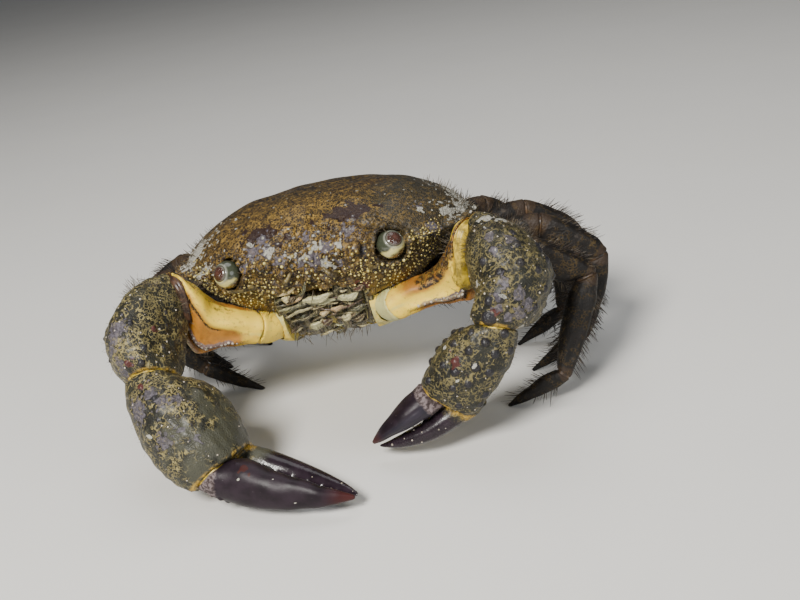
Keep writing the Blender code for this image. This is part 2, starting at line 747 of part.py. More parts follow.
def shell_spines(tree):
    """Spines along the carapace's sides, front and orbits, and beads across it behind the front."""
    made = []
    edge = whole_edge(CARAPACE_EDGE)
    first, last = math.atan2(26.4, 21.3), math.atan2(CARAPACE_HALF_WIDTH, -1.0)
    for side in (RIGHT, LEFT):
        for k in range(EDGE_SPINES):
            angle = first + (last - first) * k / (EDGE_SPINES - 1)
            reach, high = through(edge, angle)[0]
            point = [math.sin(angle) * reach * side, DOME_PEAK_Y - math.cos(angle) * reach, high]
            out = unit([math.sin(angle) * side, -math.cos(angle) - 0.25, 0.22])
            scale = 0.8 + 0.25 * math.sin(math.pi * (k + 0.6) / EDGE_SPINES)
            made.append(spike(point, out, [v * scale for v in EDGE_SPINE], lean=(0, -0.25, 0.15)))
        for k in range(FRONT_SPINES):
            x = 1.9 + 12.2 * k / (FRONT_SPINES - 1)
            reach, high = through(edge, math.atan2(x, 25.3))[0]
            angle = math.atan2(x, 25.3)
            point = [math.sin(angle) * reach * side, DOME_PEAK_Y - math.cos(angle) * reach, high]
            made.append(spike(point, (0.12 * side, -1, -0.18), FRONT_SPINE))
        for rim, first_turn, last_turn in ((1, 28, 168), (-1, 200, 338)):
            for k in range(ORBIT_SPINES):
                turn = math.radians(first_turn + (last_turn - first_turn) * k / (ORBIT_SPINES - 1))
                wide = ORBIT_RADIUS + 0.75
                start = Vector((
                    side * (ORBIT.x + wide * math.cos(turn)), ORBIT.y - 15.0, ORBIT.z + wide * math.sin(turn)
                ))
                hit, normal = tree.ray_cast(start, Vector((0, 1, 0)))[:2]
                if hit is not None:
                    away = (side * math.cos(turn) * 0.5, -1.0, math.sin(turn) * 0.5)
                    made.append(spike(hit, away, ORBIT_SPINE, sides=5))
        for k in range(BROW_BEADS):
            x = 2.2 + 17.0 * k / (BROW_BEADS - 1)
            y = -22.6 + 0.018 * (x - 8.0) ** 2 + (0.5 if k % 2 else 0.0)
            hit, normal = tree.ray_cast(Vector((x * side, y, 40.0)), Vector((0, 0, -1)))[:2]
            made.append(knob(hit, tuple(normal), BROW_BEAD, sides=5))
    return made


class Crab:
    def __init__(self):
        self.materials = {slot: make_material(slot) for slot in COLOURS}
        self.root = bpy.data.objects.new("warty_crab", None)
        bpy.context.scene.collection.objects.link(self.root)
        self.shell_cutters, self.sternum_cutters = [], []

    def add(self, name, rows, slot):
        return solid(name, rows, self.materials[slot], self.root)

    def walking_legs(self):
        for side, legs in LEGS.items():
            for number, points in enumerate(legs, 1):
                counts = ((6, 10), (5, 10), (5, 8), (6, 6))
                for k, segment in enumerate(leg_segments(side, points)):
                    name = f"leg_{SIDE_NAMES[side]}_{number}_{LEG_LENGTHS[k]}"
                    rows = segment.rings(*counts[k])
                    leg = self.add(name, rows, "leg_tip" if k == 3 else "leg")
                    if k == 0:
                        self.sternum_cutters.append(solid("socket", segment.rings(*counts[0], GAP)))
                        self.shell_cutters.append(solid("socket", segment.rings(*counts[0], GAP)))
                    if k == 3:
                        cut_at_floor(leg)
                    finish(leg)

    def claw_arms(self):
        for side in (RIGHT, LEFT):
            prefix = f"claw_{SIDE_NAMES[side]}"
            base, merus, carpus, wrist_face = arm_segments(side)
            for segment, count in ((base, 5), (merus, 8)):
                self.sternum_cutters.append(solid("socket", segment.rings(count, 14, GAP)))
                self.shell_cutters.append(solid("socket", segment.rings(count, 14, GAP)))
            finish(self.add(f"{prefix}_base", base.rings(5, 14), "belly"))
            finish(self.add(f"{prefix}_merus", merus.rings(8, 14), "arm_inside"))
            wrist_piece = self.add(f"{prefix}_carpus", carpus.rings(9, 18), "shell")
            combine(wrist_piece, warts_over(carpus, ARMS[side]["carpus_warts"]))
            finish(wrist_piece)
            palm, fixed, mover = claw_segments(side, wrist_face)
            hand = self.add(f"{prefix}_palm", palm.rings(10, 20), "shell")
            combine(hand, [solid("fixed", fixed.rings(9, 12))])
            combine(hand, warts_over(palm, ARMS[side]["palm_warts"]) + teeth(fixed, 90, 0.40))
            finish(cut_at_floor(hand))
            finger = self.add(f"{prefix}_finger", mover.rings(9, 12), "claw")
            combine(finger, teeth(mover, -90, 0.30))
            finish(cut_at_floor(finger))

    def eyes(self):
        for side in (RIGHT, LEFT):
            centre = mirrored(ORBIT, side)
            gaze = unit(mirrored(GAZE[side], side))
            reach = math.sqrt(EYE_RADIUS**2 - CORNEA_PLANE**2)
            start = math.atan2(reach, CORNEA_PLANE)
            bend = np.linspace(math.pi - 0.15, start, 8)
            stalk = [(EYE_RADIUS * math.cos(a), EYE_RADIUS * math.sin(a)) for a in bend]
            rows = in_body(revolved(stalk, centre, gaze, 14))
            finish(self.add(f"eyestalk_{SIDE_NAMES[side]}", rows, "eyestalk"))
            lift = CORNEA_PLANE + GAP
            lens = [
                (lift + CORNEA_HEIGHT * math.sin(a), CORNEA_RADIUS * math.cos(a))
                for a in np.linspace(0, math.pi / 2 - 0.15, 5)
            ]
            rows = in_body(revolved(lens, centre, gaze, 14))
            finish(self.add(f"eye_{SIDE_NAMES[side]}", rows, "cornea"))
            points, faces = ball(centre, [ORBIT_RADIUS] * 3, 10, 16)
            self.shell_cutters.append(make_object("orbit", in_body(points), faces))

    def mouthparts(self):
        down, out = mouth_frame()
        back = np.array(MOUTH_TOP) - out * MOUTH_DEPTH
        for side in (RIGHT, LEFT):
            width = MOUTH_HALF_WIDTH / 2 - GAP / 2
            middle = back + np.array([side * (MOUTH_HALF_WIDTH / 2 + GAP / 4), 0, 0])
            rows = []
            across, along = oval(12, 3.2)
            for share in np.linspace(0, 1, 7):
                wide = width * (1 - 0.18 * share**2) * (1 - 0.25 * max(0, 0.12 - share) / 0.12)
                thick = (MOUTH_DEPTH - GAP * 0.5) / 2 * (1 - 0.45 * abs(2 * share - 1) ** 4)
                inset = -side * (width - wide)
                centre = middle + down * (0.9 + share * (MOUTH_LENGTH - 0.6)) + out * (GAP + thick)
                rows.append(
                    centre + np.outer(across * wide + inset, [1.0, 0, 0]) + np.outer(along * thick, out)
                )
            rows = in_body(np.array(rows))
            finish(self.add(f"mouth_plate_{SIDE_NAMES[side]}", rows, "mouthparts"))

    def feelers(self):
        """The outer feelers stand at the orbits' inner corners, and the inner ones fold under the front."""
        for side in (RIGHT, LEFT):
            self.feeler("antenna", side, ANTENNA, ANTENNA_THICKNESS)
            self.feeler("antennule", side, ANTENNULE, ANTENNULE_THICKNESS)

    def feeler(self, kind, side, corners, thickness):
        root, bend, tip = (mirrored(p, side) for p in corners)
        rows, wide = [], []
        turn = (np.arange(7) + 0.5) * TAU / 7
        for share in np.linspace(0, 1, 10):
            a, b = root + (bend - root) * share, bend + (tip - bend) * share
            centre = a + (b - a) * share
            way = unit((bend - root) * (1 - share) + (tip - bend) * share)
            up = unit(np.array([0, 0, 1.0]) - way * way[2])
            thick = float(through(thickness, share)[0, 0])
            round_it = np.outer(np.cos(turn), np.cross(way, up)) + np.outer(np.sin(turn), up)
            rows.append(centre + round_it * thick)
            wide.append(centre - way * (GAP if share == 0 else 0) + round_it * (thick + GAP))
        finish(self.add(f"{kind}_{SIDE_NAMES[side]}", in_body(np.array(rows)), "feeler"))
        self.shell_cutters.append(solid("socket", in_body(np.array(wide))))

    def carapace(self):
        rows = carapace_rows(54, 11, 5)
        count, columns = rows.shape[:2]
        peak = np.array([0.0, DOME_PEAK_Y, DOME_HEIGHT + float(relief(0.0, DOME_PEAK_Y))])
        points = np.vstack([peak[None], rows.reshape(-1, 3)])
        faces = [(0, 1 + j, 1 + (j + 1) % columns) for j in range(columns)]
        for i in range(count - 1):
            low, high = 1 + i * columns, 1 + (i + 1) * columns
            faces += [
                (low + j, high + j, high + (j + 1) % columns, low + (j + 1) % columns)
                for j in range(columns)
            ]
        faces.append(tuple(1 + (count - 1) * columns + j for j in range(columns))[::-1])
        shell = make_object("carapace", in_body(points), faces, self.materials["shell"], self.root)
        skin_tree = BVHTree.FromPolygons([tuple(p) for p in points], faces)
        combine(shell, [solid("spine", in_body(piece)) for piece in shell_spines(skin_tree)])
        combine(shell, self.shell_cutters + [mouth_recess()], "DIFFERENCE")
        finish(shell)

    def sternum(self):
        columns = 40
        under = whole_edge(UNDER_EDGE)
        angle = (np.arange(columns) + 0.5) * TAU / columns
        reach = through(under, angle)[:, 0]
        away = np.column_stack([np.sin(angle), -np.cos(angle)])
        rows = []
        top = SHELL_FLOOR - GAP
        for share, scale in ((0, 0.97), (0.25, 0.98), (0.5, 0.95), (0.75, 0.88), (0.92, 0.78), (1, 0.68)):
            x, y = (away * (reach * scale)[:, None]).T
            rows.append(
                np.column_stack([x, y + DOME_PEAK_Y, np.full(columns, top + (STERNUM_FLOOR - top) * share)])
            )
        chest = self.add("sternum", in_body(np.array(rows)), "belly")
        combine(chest, [mouth_recess()], "DIFFERENCE")
        combine(chest, self.sternum_cutters, "DIFFERENCE")
        finish(chest)

    def abdomen(self):
        """The folded tail plate under the body."""
        path = np.array([[0, 25.2, -13.6], [0, 22.5, -19.5], [0, 15.0, -24.1], [0, 5.0, -24.3], [0, -6.0, -24.2]])
        run = np.linspace(0, 1, len(path))
        keys = np.column_stack([run, path[:, 1:]])
        rows, cutter = [], []
        across, along = oval(10, 3.0)
        for share in np.linspace(0, 1, 11):
            y, z = through(keys, share)[0]
            ahead, behind = through(keys, min(share + 0.02, 1))[0], through(keys, max(share - 0.02, 0))[0]
            way = unit([0, *(ahead - behind)])
            up = np.cross([1.0, 0, 0], way)
            wide = float(through(((0, 8.6), (0.3, 8.0), (0.7, 5.2), (0.92, 3.4), (1, 2.0)), share)[0, 0])
            for grow, store in ((0, rows), (GAP, cutter)):
                centre = np.array([0, y, z]) + way * grow * (1 if share == 1 else -1 if share == 0 else 0)
                store.append(
                    centre + np.outer(across * (wide + grow), [1.0, 0, 0])
                    + np.outer(along * (1.0 + grow), up)
                )
        finish(self.add("abdomen", in_body(np.array(rows)), "belly"))
        self.sternum_cutters.append(solid("groove", in_body(np.array(cutter))))


def main():
    clear_scene()
    crab = Crab()
    crab.walking_legs()
    crab.claw_arms()
    crab.eyes()
    crab.mouthparts()
    crab.feelers()
    crab.abdomen()
    crab.carapace()
    crab.sternum()
    for thing in bpy.data.objects:
        if thing.type == "MESH":
            thing.data.transform(Matrix.Translation(ORIGIN_SHIFT * MM))


main()
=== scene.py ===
"""The finished look of a life-size warty crab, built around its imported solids.

Shapes are worked in millimetres and scaled to metres as each piece is finished. The body is shaped level,
in its own frame (x to the crab's left, y to its rear, z up), and set on its feet by body_matrix. Limbs are
shaped where they stand. Every skin is an even mesh that is pushed in and out and has its markings painted
on as point attributes, which the materials break up with their own patterns.
"""

import json
import math

import bmesh
import bpy
import numpy as np
from bpy.props import FloatProperty, FloatVectorProperty, IntProperty
from mathutils import Matrix, Vector
from mathutils.bvhtree import BVHTree
from mathutils.kdtree import KDTree

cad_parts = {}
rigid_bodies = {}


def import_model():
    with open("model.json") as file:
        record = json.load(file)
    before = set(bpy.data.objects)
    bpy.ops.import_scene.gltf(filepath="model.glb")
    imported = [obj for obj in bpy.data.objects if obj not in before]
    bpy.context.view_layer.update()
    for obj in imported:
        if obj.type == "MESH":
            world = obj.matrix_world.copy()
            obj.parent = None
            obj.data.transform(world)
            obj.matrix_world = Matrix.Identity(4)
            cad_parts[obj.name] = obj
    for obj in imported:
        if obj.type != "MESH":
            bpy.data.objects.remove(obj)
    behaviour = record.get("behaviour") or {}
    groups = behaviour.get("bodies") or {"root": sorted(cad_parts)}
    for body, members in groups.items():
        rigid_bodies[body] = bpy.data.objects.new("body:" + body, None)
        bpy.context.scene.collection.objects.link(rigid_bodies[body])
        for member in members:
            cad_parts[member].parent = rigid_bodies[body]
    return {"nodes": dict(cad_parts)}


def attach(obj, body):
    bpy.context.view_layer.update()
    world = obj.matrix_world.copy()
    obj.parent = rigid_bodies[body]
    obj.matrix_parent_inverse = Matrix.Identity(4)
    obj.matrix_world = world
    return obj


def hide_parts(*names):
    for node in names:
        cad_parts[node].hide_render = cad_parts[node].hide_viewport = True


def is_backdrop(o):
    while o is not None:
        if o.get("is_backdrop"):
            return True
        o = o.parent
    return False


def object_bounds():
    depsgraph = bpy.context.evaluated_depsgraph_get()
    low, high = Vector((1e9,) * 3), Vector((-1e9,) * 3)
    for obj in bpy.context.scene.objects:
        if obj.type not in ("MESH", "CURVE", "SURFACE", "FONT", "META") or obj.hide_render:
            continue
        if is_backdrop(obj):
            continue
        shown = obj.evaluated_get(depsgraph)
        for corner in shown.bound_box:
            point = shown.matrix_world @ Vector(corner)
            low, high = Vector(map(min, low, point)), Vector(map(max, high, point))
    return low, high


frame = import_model()

bl_info = {
    "name": "Warty crab",
    "version": (1, 0, 0),
    "blender": (4, 5, 0),
    "location": "View3D > Sidebar > Crab",
    "description": "Dresses a crab's packed solids with finely shaped shell, eyes, claws, legs and bristles",
    "category": "Object",
}

MM = 0.001
TAU = 2 * math.pi
RIGHT, LEFT = -1, 1  # the crab's own sides, as the sign of x
SIDE_NAMES = {RIGHT: "right", LEFT: "left"}

# The stance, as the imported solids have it
GAP = 0.3
BODY_HEIGHT = 46.0
BODY_ROLL = math.radians(-5)
BODY_PITCH = math.radians(-4)
ORIGIN_SHIFT = Vector((-5.68, 12.99, 0.0))

# The carapace, in the body's frame
CARAPACE_HALF_WIDTH = 40.5
DOME_HEIGHT = 13.5
DOME_PEAK_Y = -3.0
SHELL_FLOOR = -13.0
CARAPACE_EDGE = (
    (0.0, -27.6, 1.6),
    (9.0, -28.6, 1.6),
    (16.0, -27.2, 1.4),
    (26.0, -24.6, 0.6),
    (33.5, -18.0, 0.2),
    (38.6, -9.5, 0.0),
    (CARAPACE_HALF_WIDTH, -1.5, 0.0),
    (38.0, 8.0, 0.6),
    (31.0, 18.5, 1.6),
    (21.0, 26.5, 2.6),
    (14.5, 28.8, 3.0),
    (0.0, 29.4, 3.2),
)
UNDER_EDGE = (
    (0.0, -20.5),
    (12.0, -21.0),
    (19.0, -18.5),
    (24.0, -11.0),
    (25.5, 0.0),
    (24.0, 9.0),
    (18.5, 18.0),
    (10.0, 22.5),
    (0.0, 23.5),
)

# Orbits and eyes
ORBIT = Vector((21.6, -25.0, 0.4))
ORBIT_RADIUS = 3.95
EYE_RADIUS = ORBIT_RADIUS - GAP
GAZE = {RIGHT: (0.46, -0.80, 0.40), LEFT: (0.52, -0.60, 0.61)}
CORNEA_PLANE = 2.4
CORNEA_RADIUS = 2.1
SOCKET_STEPS = ((0.04, 0.12), (0.2, 0.2), (0.5, 0.3))  # how far down and in the bulb's rim goes
CORNEA_HEIGHT = 0.95
SOCKET_RADIUS = 2.2

# Mouth
MOUTH_TOP = Vector((0.0, -23.2, -7.0))
MOUTH_SLANT = math.atan2(10.0, 17.0)
MOUTH_HALF_WIDTH = 11.5
MOUTH_DEPTH = 2.6
MOUTH_LENGTH = 18.5

# Plates of one side of the mouth: places (across, down, out) along each, its half widths and half
# thicknesses by share of its length, how pale it is, and its rings (depth, count)
MOUTH_PLATES = (
    (
        ((4.6, 18.6, -0.4), (5.2, 13, 0.35), (5.6, 7.4, 0.3)),
        ((0, 3.2), (0.4, 4.1), (1, 4.0)), ((0, 0.7), (0.5, 1.15), (1, 0.8)), 0.1, None,
    ),
    (
        ((6.0, 8.0, 0.6), (6.6, 4.4, 1.0), (6.9, 1.0, 0.4)),
        ((0, 3.8), (0.5, 4.5), (1, 3.1)), ((0, 0.7), (0.5, 1.1), (1, 0.6)), 0.15, None,
    ),
    (
        ((3.0, 18.0, 0.5), (3.2, 12, 1.25), (3.2, 8.0, 1.0)),
        ((0, 0.5), (0.4, 0.8), (1, 0.4)), ((0, 0.3), (0.5, 0.45), (1, 0.3)), 0.5, None,
    ),
    (
        ((9.6, 18.0, -0.6), (11.4, 11, 0.4), (12.0, 4.5, 0.6), (11.4, 0.6, 0.8)),
        ((0, 0.9), (0.5, 1.35), (1, 0.7)), ((0, 0.6), (0.5, 0.8), (1, 0.5)), 0.2, None,
    ),
    (
        ((11.4, 0.8, 0.9), (9.2, -1.2, 1.6), (6.0, -1.6, 1.7), (2.8, -0.8, 1.5)),
        ((0, 0.6), (0.5, 0.42), (1, 0.12)), ((0, 0.45), (0.5, 0.3), (1, 0.1)), 0.4, (0.10, 14),
    ),
    (
        ((3.4, 1.6, 1.6), (2.0, 3.2, 2.2), (1.9, 5.0, 2.2)),
        ((0, 0.9), (0.5, 1.1), (1, 0.9)), ((0, 0.7), (0.5, 0.85), (1, 0.7)), 0.3, None,
    ),
    (
        ((1.9, 4.8, 2.2), (1.7, 7.0, 2.2), (1.8, 8.8, 1.9)),
        ((0, 0.9), (0.5, 1.0), (1, 0.7)), ((0, 0.65), (0.5, 0.75), (1, 0.5)), 0.15, None,
    ),
    (
        ((1.8, 8.6, 1.9), (1.9, 10.4, 1.7), (2.3, 12.0, 1.2)),
        ((0, 0.7), (0.5, 0.7), (1, 0.12)), ((0, 0.5), (0.5, 0.5), (1, 0.1)), 0.1, None,
    ),
)
# Leaves that lie over the plates: both ends (across, down), out, half width, how pale, green and rusty
MOUTH_LEAVES = (
    ((-5.2, 0.4), (-1.3, -4.9), 3.2, 0.55, 0.05, 0.7, 0.0),
    ((-10.4, -0.6), (-3.4, -4.4), 2.2, 0.50, 0.8, 0.0, 0.25),
    ((-9.6, 1.2), (-7.2, 0.0), 2.6, 0.90, 1.0, 0.0, 0.0),
    ((-7.6, 1.6), (-5.8, 0.4), 2.9, 0.70, 0.0, 0.0, 0.3),
    ((-11.6, 4.6), (-3.4, 1.7), 2.9, 0.50, 0.5, 0.7, 0.0),
    ((-11.2, 6.2), (-2.6, 3.4), 3.0, 0.45, 0.2, 0.8, 0.0),
    ((-10.8, 7.8), (-1.8, 5.0), 3.0, 0.50, 0.6, 0.4, 0.1),
    ((-10.0, 9.6), (-2.0, 7.0), 2.8, 0.45, 0.25, 0.6, 0.2),
    ((-3.4, 5.4), (11.0, 5.4), 3.3, 0.30, 0.0, 0.0, 0.8),
    ((-4.0, 1.3), (3.6, 0.2), 3.9, 1.15, 0.85, 0.5, 0.0),
    ((-3.1, 3.0), (4.2, 3.2), 3.6, 0.85, 0.6, 0.6, 0.0),
    ((4.6, 3.2), (10.4, 2.8), 3.0, 1.00, 0.75, 0.55, 0.0),
    ((9.4, 1.6), (12.2, 1.0), 2.4, 1.10, 0.15, 0.0, 0.8),
    ((1.6, 7.2), (5.4, 6.2), 3.5, 0.80, 0.6, 0.0, 0.6),
    ((-1.4, 7.8), (1.4, 7.2), 3.6, 0.80, 0.85, 0.0, 0.4),
    ((-5.6, 13.0), (-1.6, 12.0), 2.9, 1.35, 0.75, 0.6, 0.0),
    ((-1.8, 12.2), (1.0, 11.0), 3.2, 1.30, 0.05, 0.0, 0.5),
    ((3.2, 11.6), (6.0, 10.4), 2.9, 1.05, 0.7, 0.2, 0.0),
    ((5.6, 8.6), (10.6, 7.8), 2.6, 0.70, 0.3, 0.7, 0.0),
    ((4.8, 13.6), (9.6, 11.6), 2.2, 0.90, 0.15, 0.2, 0.2),
)
LOOSE_LEAVES = 64  # small ones, scattered by chance
LEAF_SHADES = ((0.0, 0.1, 0.6, 1.0), (0.0, 0.0, 0.8), (0, 0, 0, 0, 0.6))  # chances of pale, green and rusty
MOUTH_BRISTLES = 300

# Feelers
ANTENNA = ((14.8, -22.0, -3.4), (15.6, -28.6, -4.6), (19.5, -34.5, -1.5))
ANTENNA_THICKNESS = ((0, 1.15), (0.3, 1.1), (0.42, 0.55), (1, 0.3))
ANTENNULE = ((6.6, -22.5, -3.2), (7.4, -31.5, -5.0), (4.2, -28.8, -1.2))
ANTENNULE_THICKNESS = ((0, 1.0), (0.5, 0.85), (1, 0.4))

# Walking legs, front to rear: hip, knee, end of the carpus, end of the propodus, tip of the claw
LEGS = {
    LEFT: (
        ((22.5, -8.4, -18.5), (54.0, -12.0, 40.5), (68.5, -10.5, 31.0), (60.5, -21.0, 8.5),
         (45.0, -21.0, 0.0)),
        ((23.5, -0.5, -18.8), (57.5, 1.5, 42.0), (72.0, 2.5, 31.5), (66.0, 0.0, 9.5), (51.5, -1.0, 0.0)),
        ((22.5, 8.0, -18.6), (53.0, 17.5, 41.0), (66.0, 22.5, 31.0), (61.0, 19.5, 9.0), (47.0, 16.5, 0.0)),
        ((18.5, 16.0, -18.2), (40.0, 33.5, 38.5), (48.0, 41.5, 29.0), (45.0, 38.0, 8.5), (34.0, 31.5, 0.0)),
    ),
    RIGHT: (
        ((22.5, -8.4, -18.5), (47.0, -11.0, 34.5), (57.0, -10.0, 25.0), (48.0, -16.5, 7.5),
         (34.0, -17.0, 0.0)),
        ((23.5, -0.5, -18.8), (50.0, 1.5, 36.0), (59.5, 2.5, 25.5), (43.5, 1.5, 8.0), (27.0, 1.0, 0.0)),
        ((22.5, 8.0, -18.6), (49.0, 17.5, 35.0), (60.5, 22.5, 25.0), (55.0, 20.0, 8.0), (41.0, 17.5, 0.0)),
        ((18.5, 16.0, -18.2), (38.0, 33.5, 33.0), (46.5, 41.5, 24.0), (43.0, 38.5, 7.5), (32.0, 32.5, 0.0)),
    ),
}
LEG_FACES = ((2.7, 3.9), (2.9, 3.6), (2.6, 3.3), (1.9, 2.2), (0.55, 0.55))
LEG_SWELL = (
    ((0.12, 3.0, 4.5), (0.45, 3.4, 5.6), (0.85, 3.4, 5.0)),
    ((0.3, 3.4, 4.3), (0.75, 3.4, 4.5)),
    ((0.2, 3.1, 4.0), (0.6, 2.9, 3.6)),
    ((0.25, 1.9, 2.4), (0.65, 1.35, 1.6)),
)
LEG_LENGTHS = ("merus", "carpus", "propodus", "dactylus")

# Claw arms
ARMS = {
    RIGHT: {
        "root": (14.0, -12.5, -18.2),
        "hip": (19.5, -21.0, -16.0),
        "elbow": (35.0, -29.0, 41.0),
        "wrist": (39.0, -48.0, 29.4),
        "palm_end": (22.3, -57.2, 8.7),
        "finger_tip": (-11.8, -67.2, 4.5),
        "dorsal": (0.35, -0.85, 0.40),
        "merus": (
            (0.3, 5.0, 5.3, 0, -2.0), (0.6, 5.8, 7.4, 0, -4.4), (0.85, 6.0, 8.4, 0, -2.0),
            (1, 6.0, 7.4, 0, 1.4),
        ),
        "carpus": (
            (0, 5.0, 8.8, 1.5, 0), (0.25, 7.6, 11.4, 4.5, 0.6), (0.6, 9.6, 12.2, 5.4, 0.4),
            (0.85, 7.8, 9.6, 2.6, 0),
        ),
        "carpus_narrowing": 0.2,
        "palm": (
            (0, 5.8, 6.6), (0.25, 9.4, 10.0, 0.1, 0), (0.58, 10.9, 12.0, 0.4, 0), (0.86, 9.9, 11.2, 0.5, 0),
            (1, 8.2, 9.6, 0.4, 0),
        ),
        "finger": 5.2,
        "finger_width": 5.8,
        "swing": 0.02,
        "fixed_bow": 1.0,
        "fixed_swing": 0.02,
    },
    LEFT: {
        "root": (14.0, -12.5, -18.2),
        "hip": (19.5, -21.0, -16.0),
        "elbow": (40.8, -27.2, 46.4),
        "wrist": (46.5, -42.5, 33.0),
        "palm_end": (32.4, -42.0, 15.2),
        "finger_tip": (13.4, -45.0, 5.0),
        "dorsal": (-0.69, -0.19, 0.74),
        "merus": (
            (0.3, 4.2, 4.1, 1.0, -1.7), (0.6, 4.4, 5.8, 1.5, -3.8), (0.85, 5.2, 8.2, 0.8, -2.8),
            (1, 6.0, 9.8),
        ),
        "carpus": (
            (0, 3.8, 9.4, 3.2, 0), (0.25, 8.4, 12.4, 6.2, 0.6), (0.55, 9.8, 12.6, 7.8, 0.4),
            (0.85, 8.4, 9.6, 3.2, 0),
        ),
        "carpus_narrowing": 0.0,
        "palm": ((0, 4.8, 5.4), (0.25, 6.8, 7.4), (0.6, 7.6, 8.5), (0.88, 6.8, 8.1), (1, 5.6, 7.4)),
        "finger": 4.1,
        "finger_width": 4.4,
        "swing": 0.085,
        "fixed_bow": 0.7,
        "fixed_swing": 0.085,
    },
}
ARM_ROOT = (4.1, 4.0)
ARM_HIP = (4.5, 4.1)
FINGER_BOW = 0.055
TEETH = 5  # of a finger
TOOTH = (0.34, 0.26)  # half width and height, as shares of the finger's half height
TOOTH_STEP = 0.11  # from one tooth to the next, as a share of the finger's length
CREST, CREASE = -0.35, -0.62  # heights round the arms' inner lengths, as shares of their half height

# Fineness of the skins, and the room left round what is cut out of them
INNER_ARM_SKIN, OUTER_ARM_SKIN, FINGER_SKIN = 0.34, 0.33, 0.30
LIMB_ROOM, ORBIT_ROOM = 0.35, 0.25
FLOOR_ROOM = 0.02
MOST_TRIANGLES = 196000  # of the carapace, the largest piece

# Low swellings and grooves of the carapace: x, y, half width, half length, height
SWELLINGS = (
    (4.8, -22.5, 3.6, 2.6, 0.9), (11.5, -16.0, 5.5, 4.5, 0.8), (27.0, -14.0, 5.5, 4.5, 0.6),
    (25.0, 3.0, 8.0, 9.0, 0.7), (0.0, 10.0, 6.0, 6.0, 0.4),
)
GROOVES = ((0.0, -23.0, 1.3, 6.0, 0.7), (19.0, -13.0, 2.0, 5.0, 0.7), (10.5, 3.5, 2.2, 5.5, 0.7))

# Spines and lumps of the shell
EDGE_SPINES = 7
FRONT_SPINES = 6
ORBIT_SPINES = 8
# Half width and height of each kind
EDGE_SPINE, SMALL_SPINE, FRONT_SPINE, ORBIT_SPINE = (1.35, 2.6), (0.62, 0.95), (0.95, 1.5), (0.78, 1.25)
SPINY_FROM, SPINY_TO = math.atan2(26.4, 21.3), math.atan2(CARAPACE_HALF_WIDTH, -1.0)
FRONT_LUMPS = 34

# Markings on the shell, in the body's frame: x, y, z, radius
LILAC_ON_SHELL = (
    (-11.0, -23.1, 6.9, 1.8), (-13.2, -25.0, 4.9, 2.3), (-9.5, -26.2, 4.6, 1.8), (1.0, -24.1, 6.0, 1.2),
    (6.3, -27.4, 3.3, 1.9), (2.8, -28.2, 1.1, 2.4), (11.6, -24.5, 5.7, 1.8), (8.7, -28.3, -1.3, 1.3),
    (31.8, -18.4, 1.4, 1.7), (-1.3, -27.9, 0.9, 1.4), (-6.2, -28.4, 2.0, 1.6), (-16.0, -26.6, 2.0, 1.3),
    (24.5, 14.0, 6.0, 2.4), (-22.0, 11.0, 8.0, 2.0), (28.5, -14.0, 5.5, 1.3),
)
PALE_ON_SHELL = (
    (-14.4, -22.9, 6.4, 1.0), (-8.7, -26.4, 4.5, 1.2), (3.1, -26.8, 3.7, 1.2), (29.3, -15.5, 5.4, 0.9),
    (35.7, 3.3, 4.3, 4.0), (38.3, 0.2, 2.3, 4.0), (35.4, -11.2, 2.4, 2.6), (37.6, -6.0, 1.6, 2.6),
    (-33.5, -10.7, 4.4, 4.6), (-29.4, -22.4, 1.5, 2.6), (-35.1, -12.2, 2.3, 4.0), (0.0, -28.2, 2.4, 1.3),
    (5.0, -28.6, -1.0, 1.4), (-3.5, -28.0, 3.0, 1.0), (9.5, -27.5, 3.0, 1.0),
)
# x, y, half length, half width, slope
MAROON_ON_SHELL = ((11.5, -19.6, 6.2, 2.0, 0.10), (-10.6, -21.4, 5.0, 1.9, -0.28))
WARTS_ON_SHELL = ((14.7, -27.4, 0.8, 1.3), (-20.5, -29.0, 4.6, 1.2), (-10.6, -28.3, 0.4, 1.2))
RED_ON_SHELL = ((12.9, -24.1, -8.9, 1.5), (11.0, -25.0, -8.0, 1.1))

# Markings on the claw arms, where they stand: x, y, z, radius
LILAC_ON_ARMS = (
    (-45.2, -46.4, 43.7, 2.2), (-46.9, -46.8, 41.1, 2.2), (-48.2, -47.1, 37.8, 1.8),
    (-45.1, -50.4, 35.1, 1.6), (-44.7, -50.6, 32.4, 2.0), (-38.9, -61.1, 27.4, 2.9),
    (-35.3, -59.5, 31.9, 1.7), (-31.6, -62.7, 30.9, 1.5), (-27.6, -62.4, 31.4, 1.5),
    (-30.7, -69.2, 22.6, 2.1), (-26.4, -68.7, 25.9, 0.9), (-22.5, -69.5, 24.2, 0.9),
    (46.6, -36.9, 54.4, 1.3), (52.3, -36.2, 52.8, 1.3), (47.4, -40.7, 52.0, 1.1), (49.2, -45.6, 45.8, 1.3),
    (47.5, -47.1, 42.5, 1.3), (53.6, -45.6, 42.1, 1.6), (52.8, -45.7, 36.4, 1.8), (47.2, -48.0, 39.7, 1.1),
    (50.1, -47.1, 36.5, 1.3), (54.9, -45.0, 38.9, 1.5),
)
PALE_ON_ARMS = (
    (-35.5, -65.9, 23.2, 0.7), (42.8, -44.3, 45.1, 0.7), (49.2, -46.8, 43.3, 0.75),
    (40.4, -49.6, 27.0, 0.6), (33.1, -43.3, 29.3, 0.5), (52.8, -45.7, 33.4, 0.9), (46.0, -33.5, 58.0, 1.6),
    (50.5, -33.0, 57.0, 1.5), (-4.7, -74.4, 15.5, 0.22), (0.0, -77.1, 9.3, 0.22),
    (-13.1, -75.1, 15.8, 0.2), (35.6, -47.0, 21.0, 0.3),
)
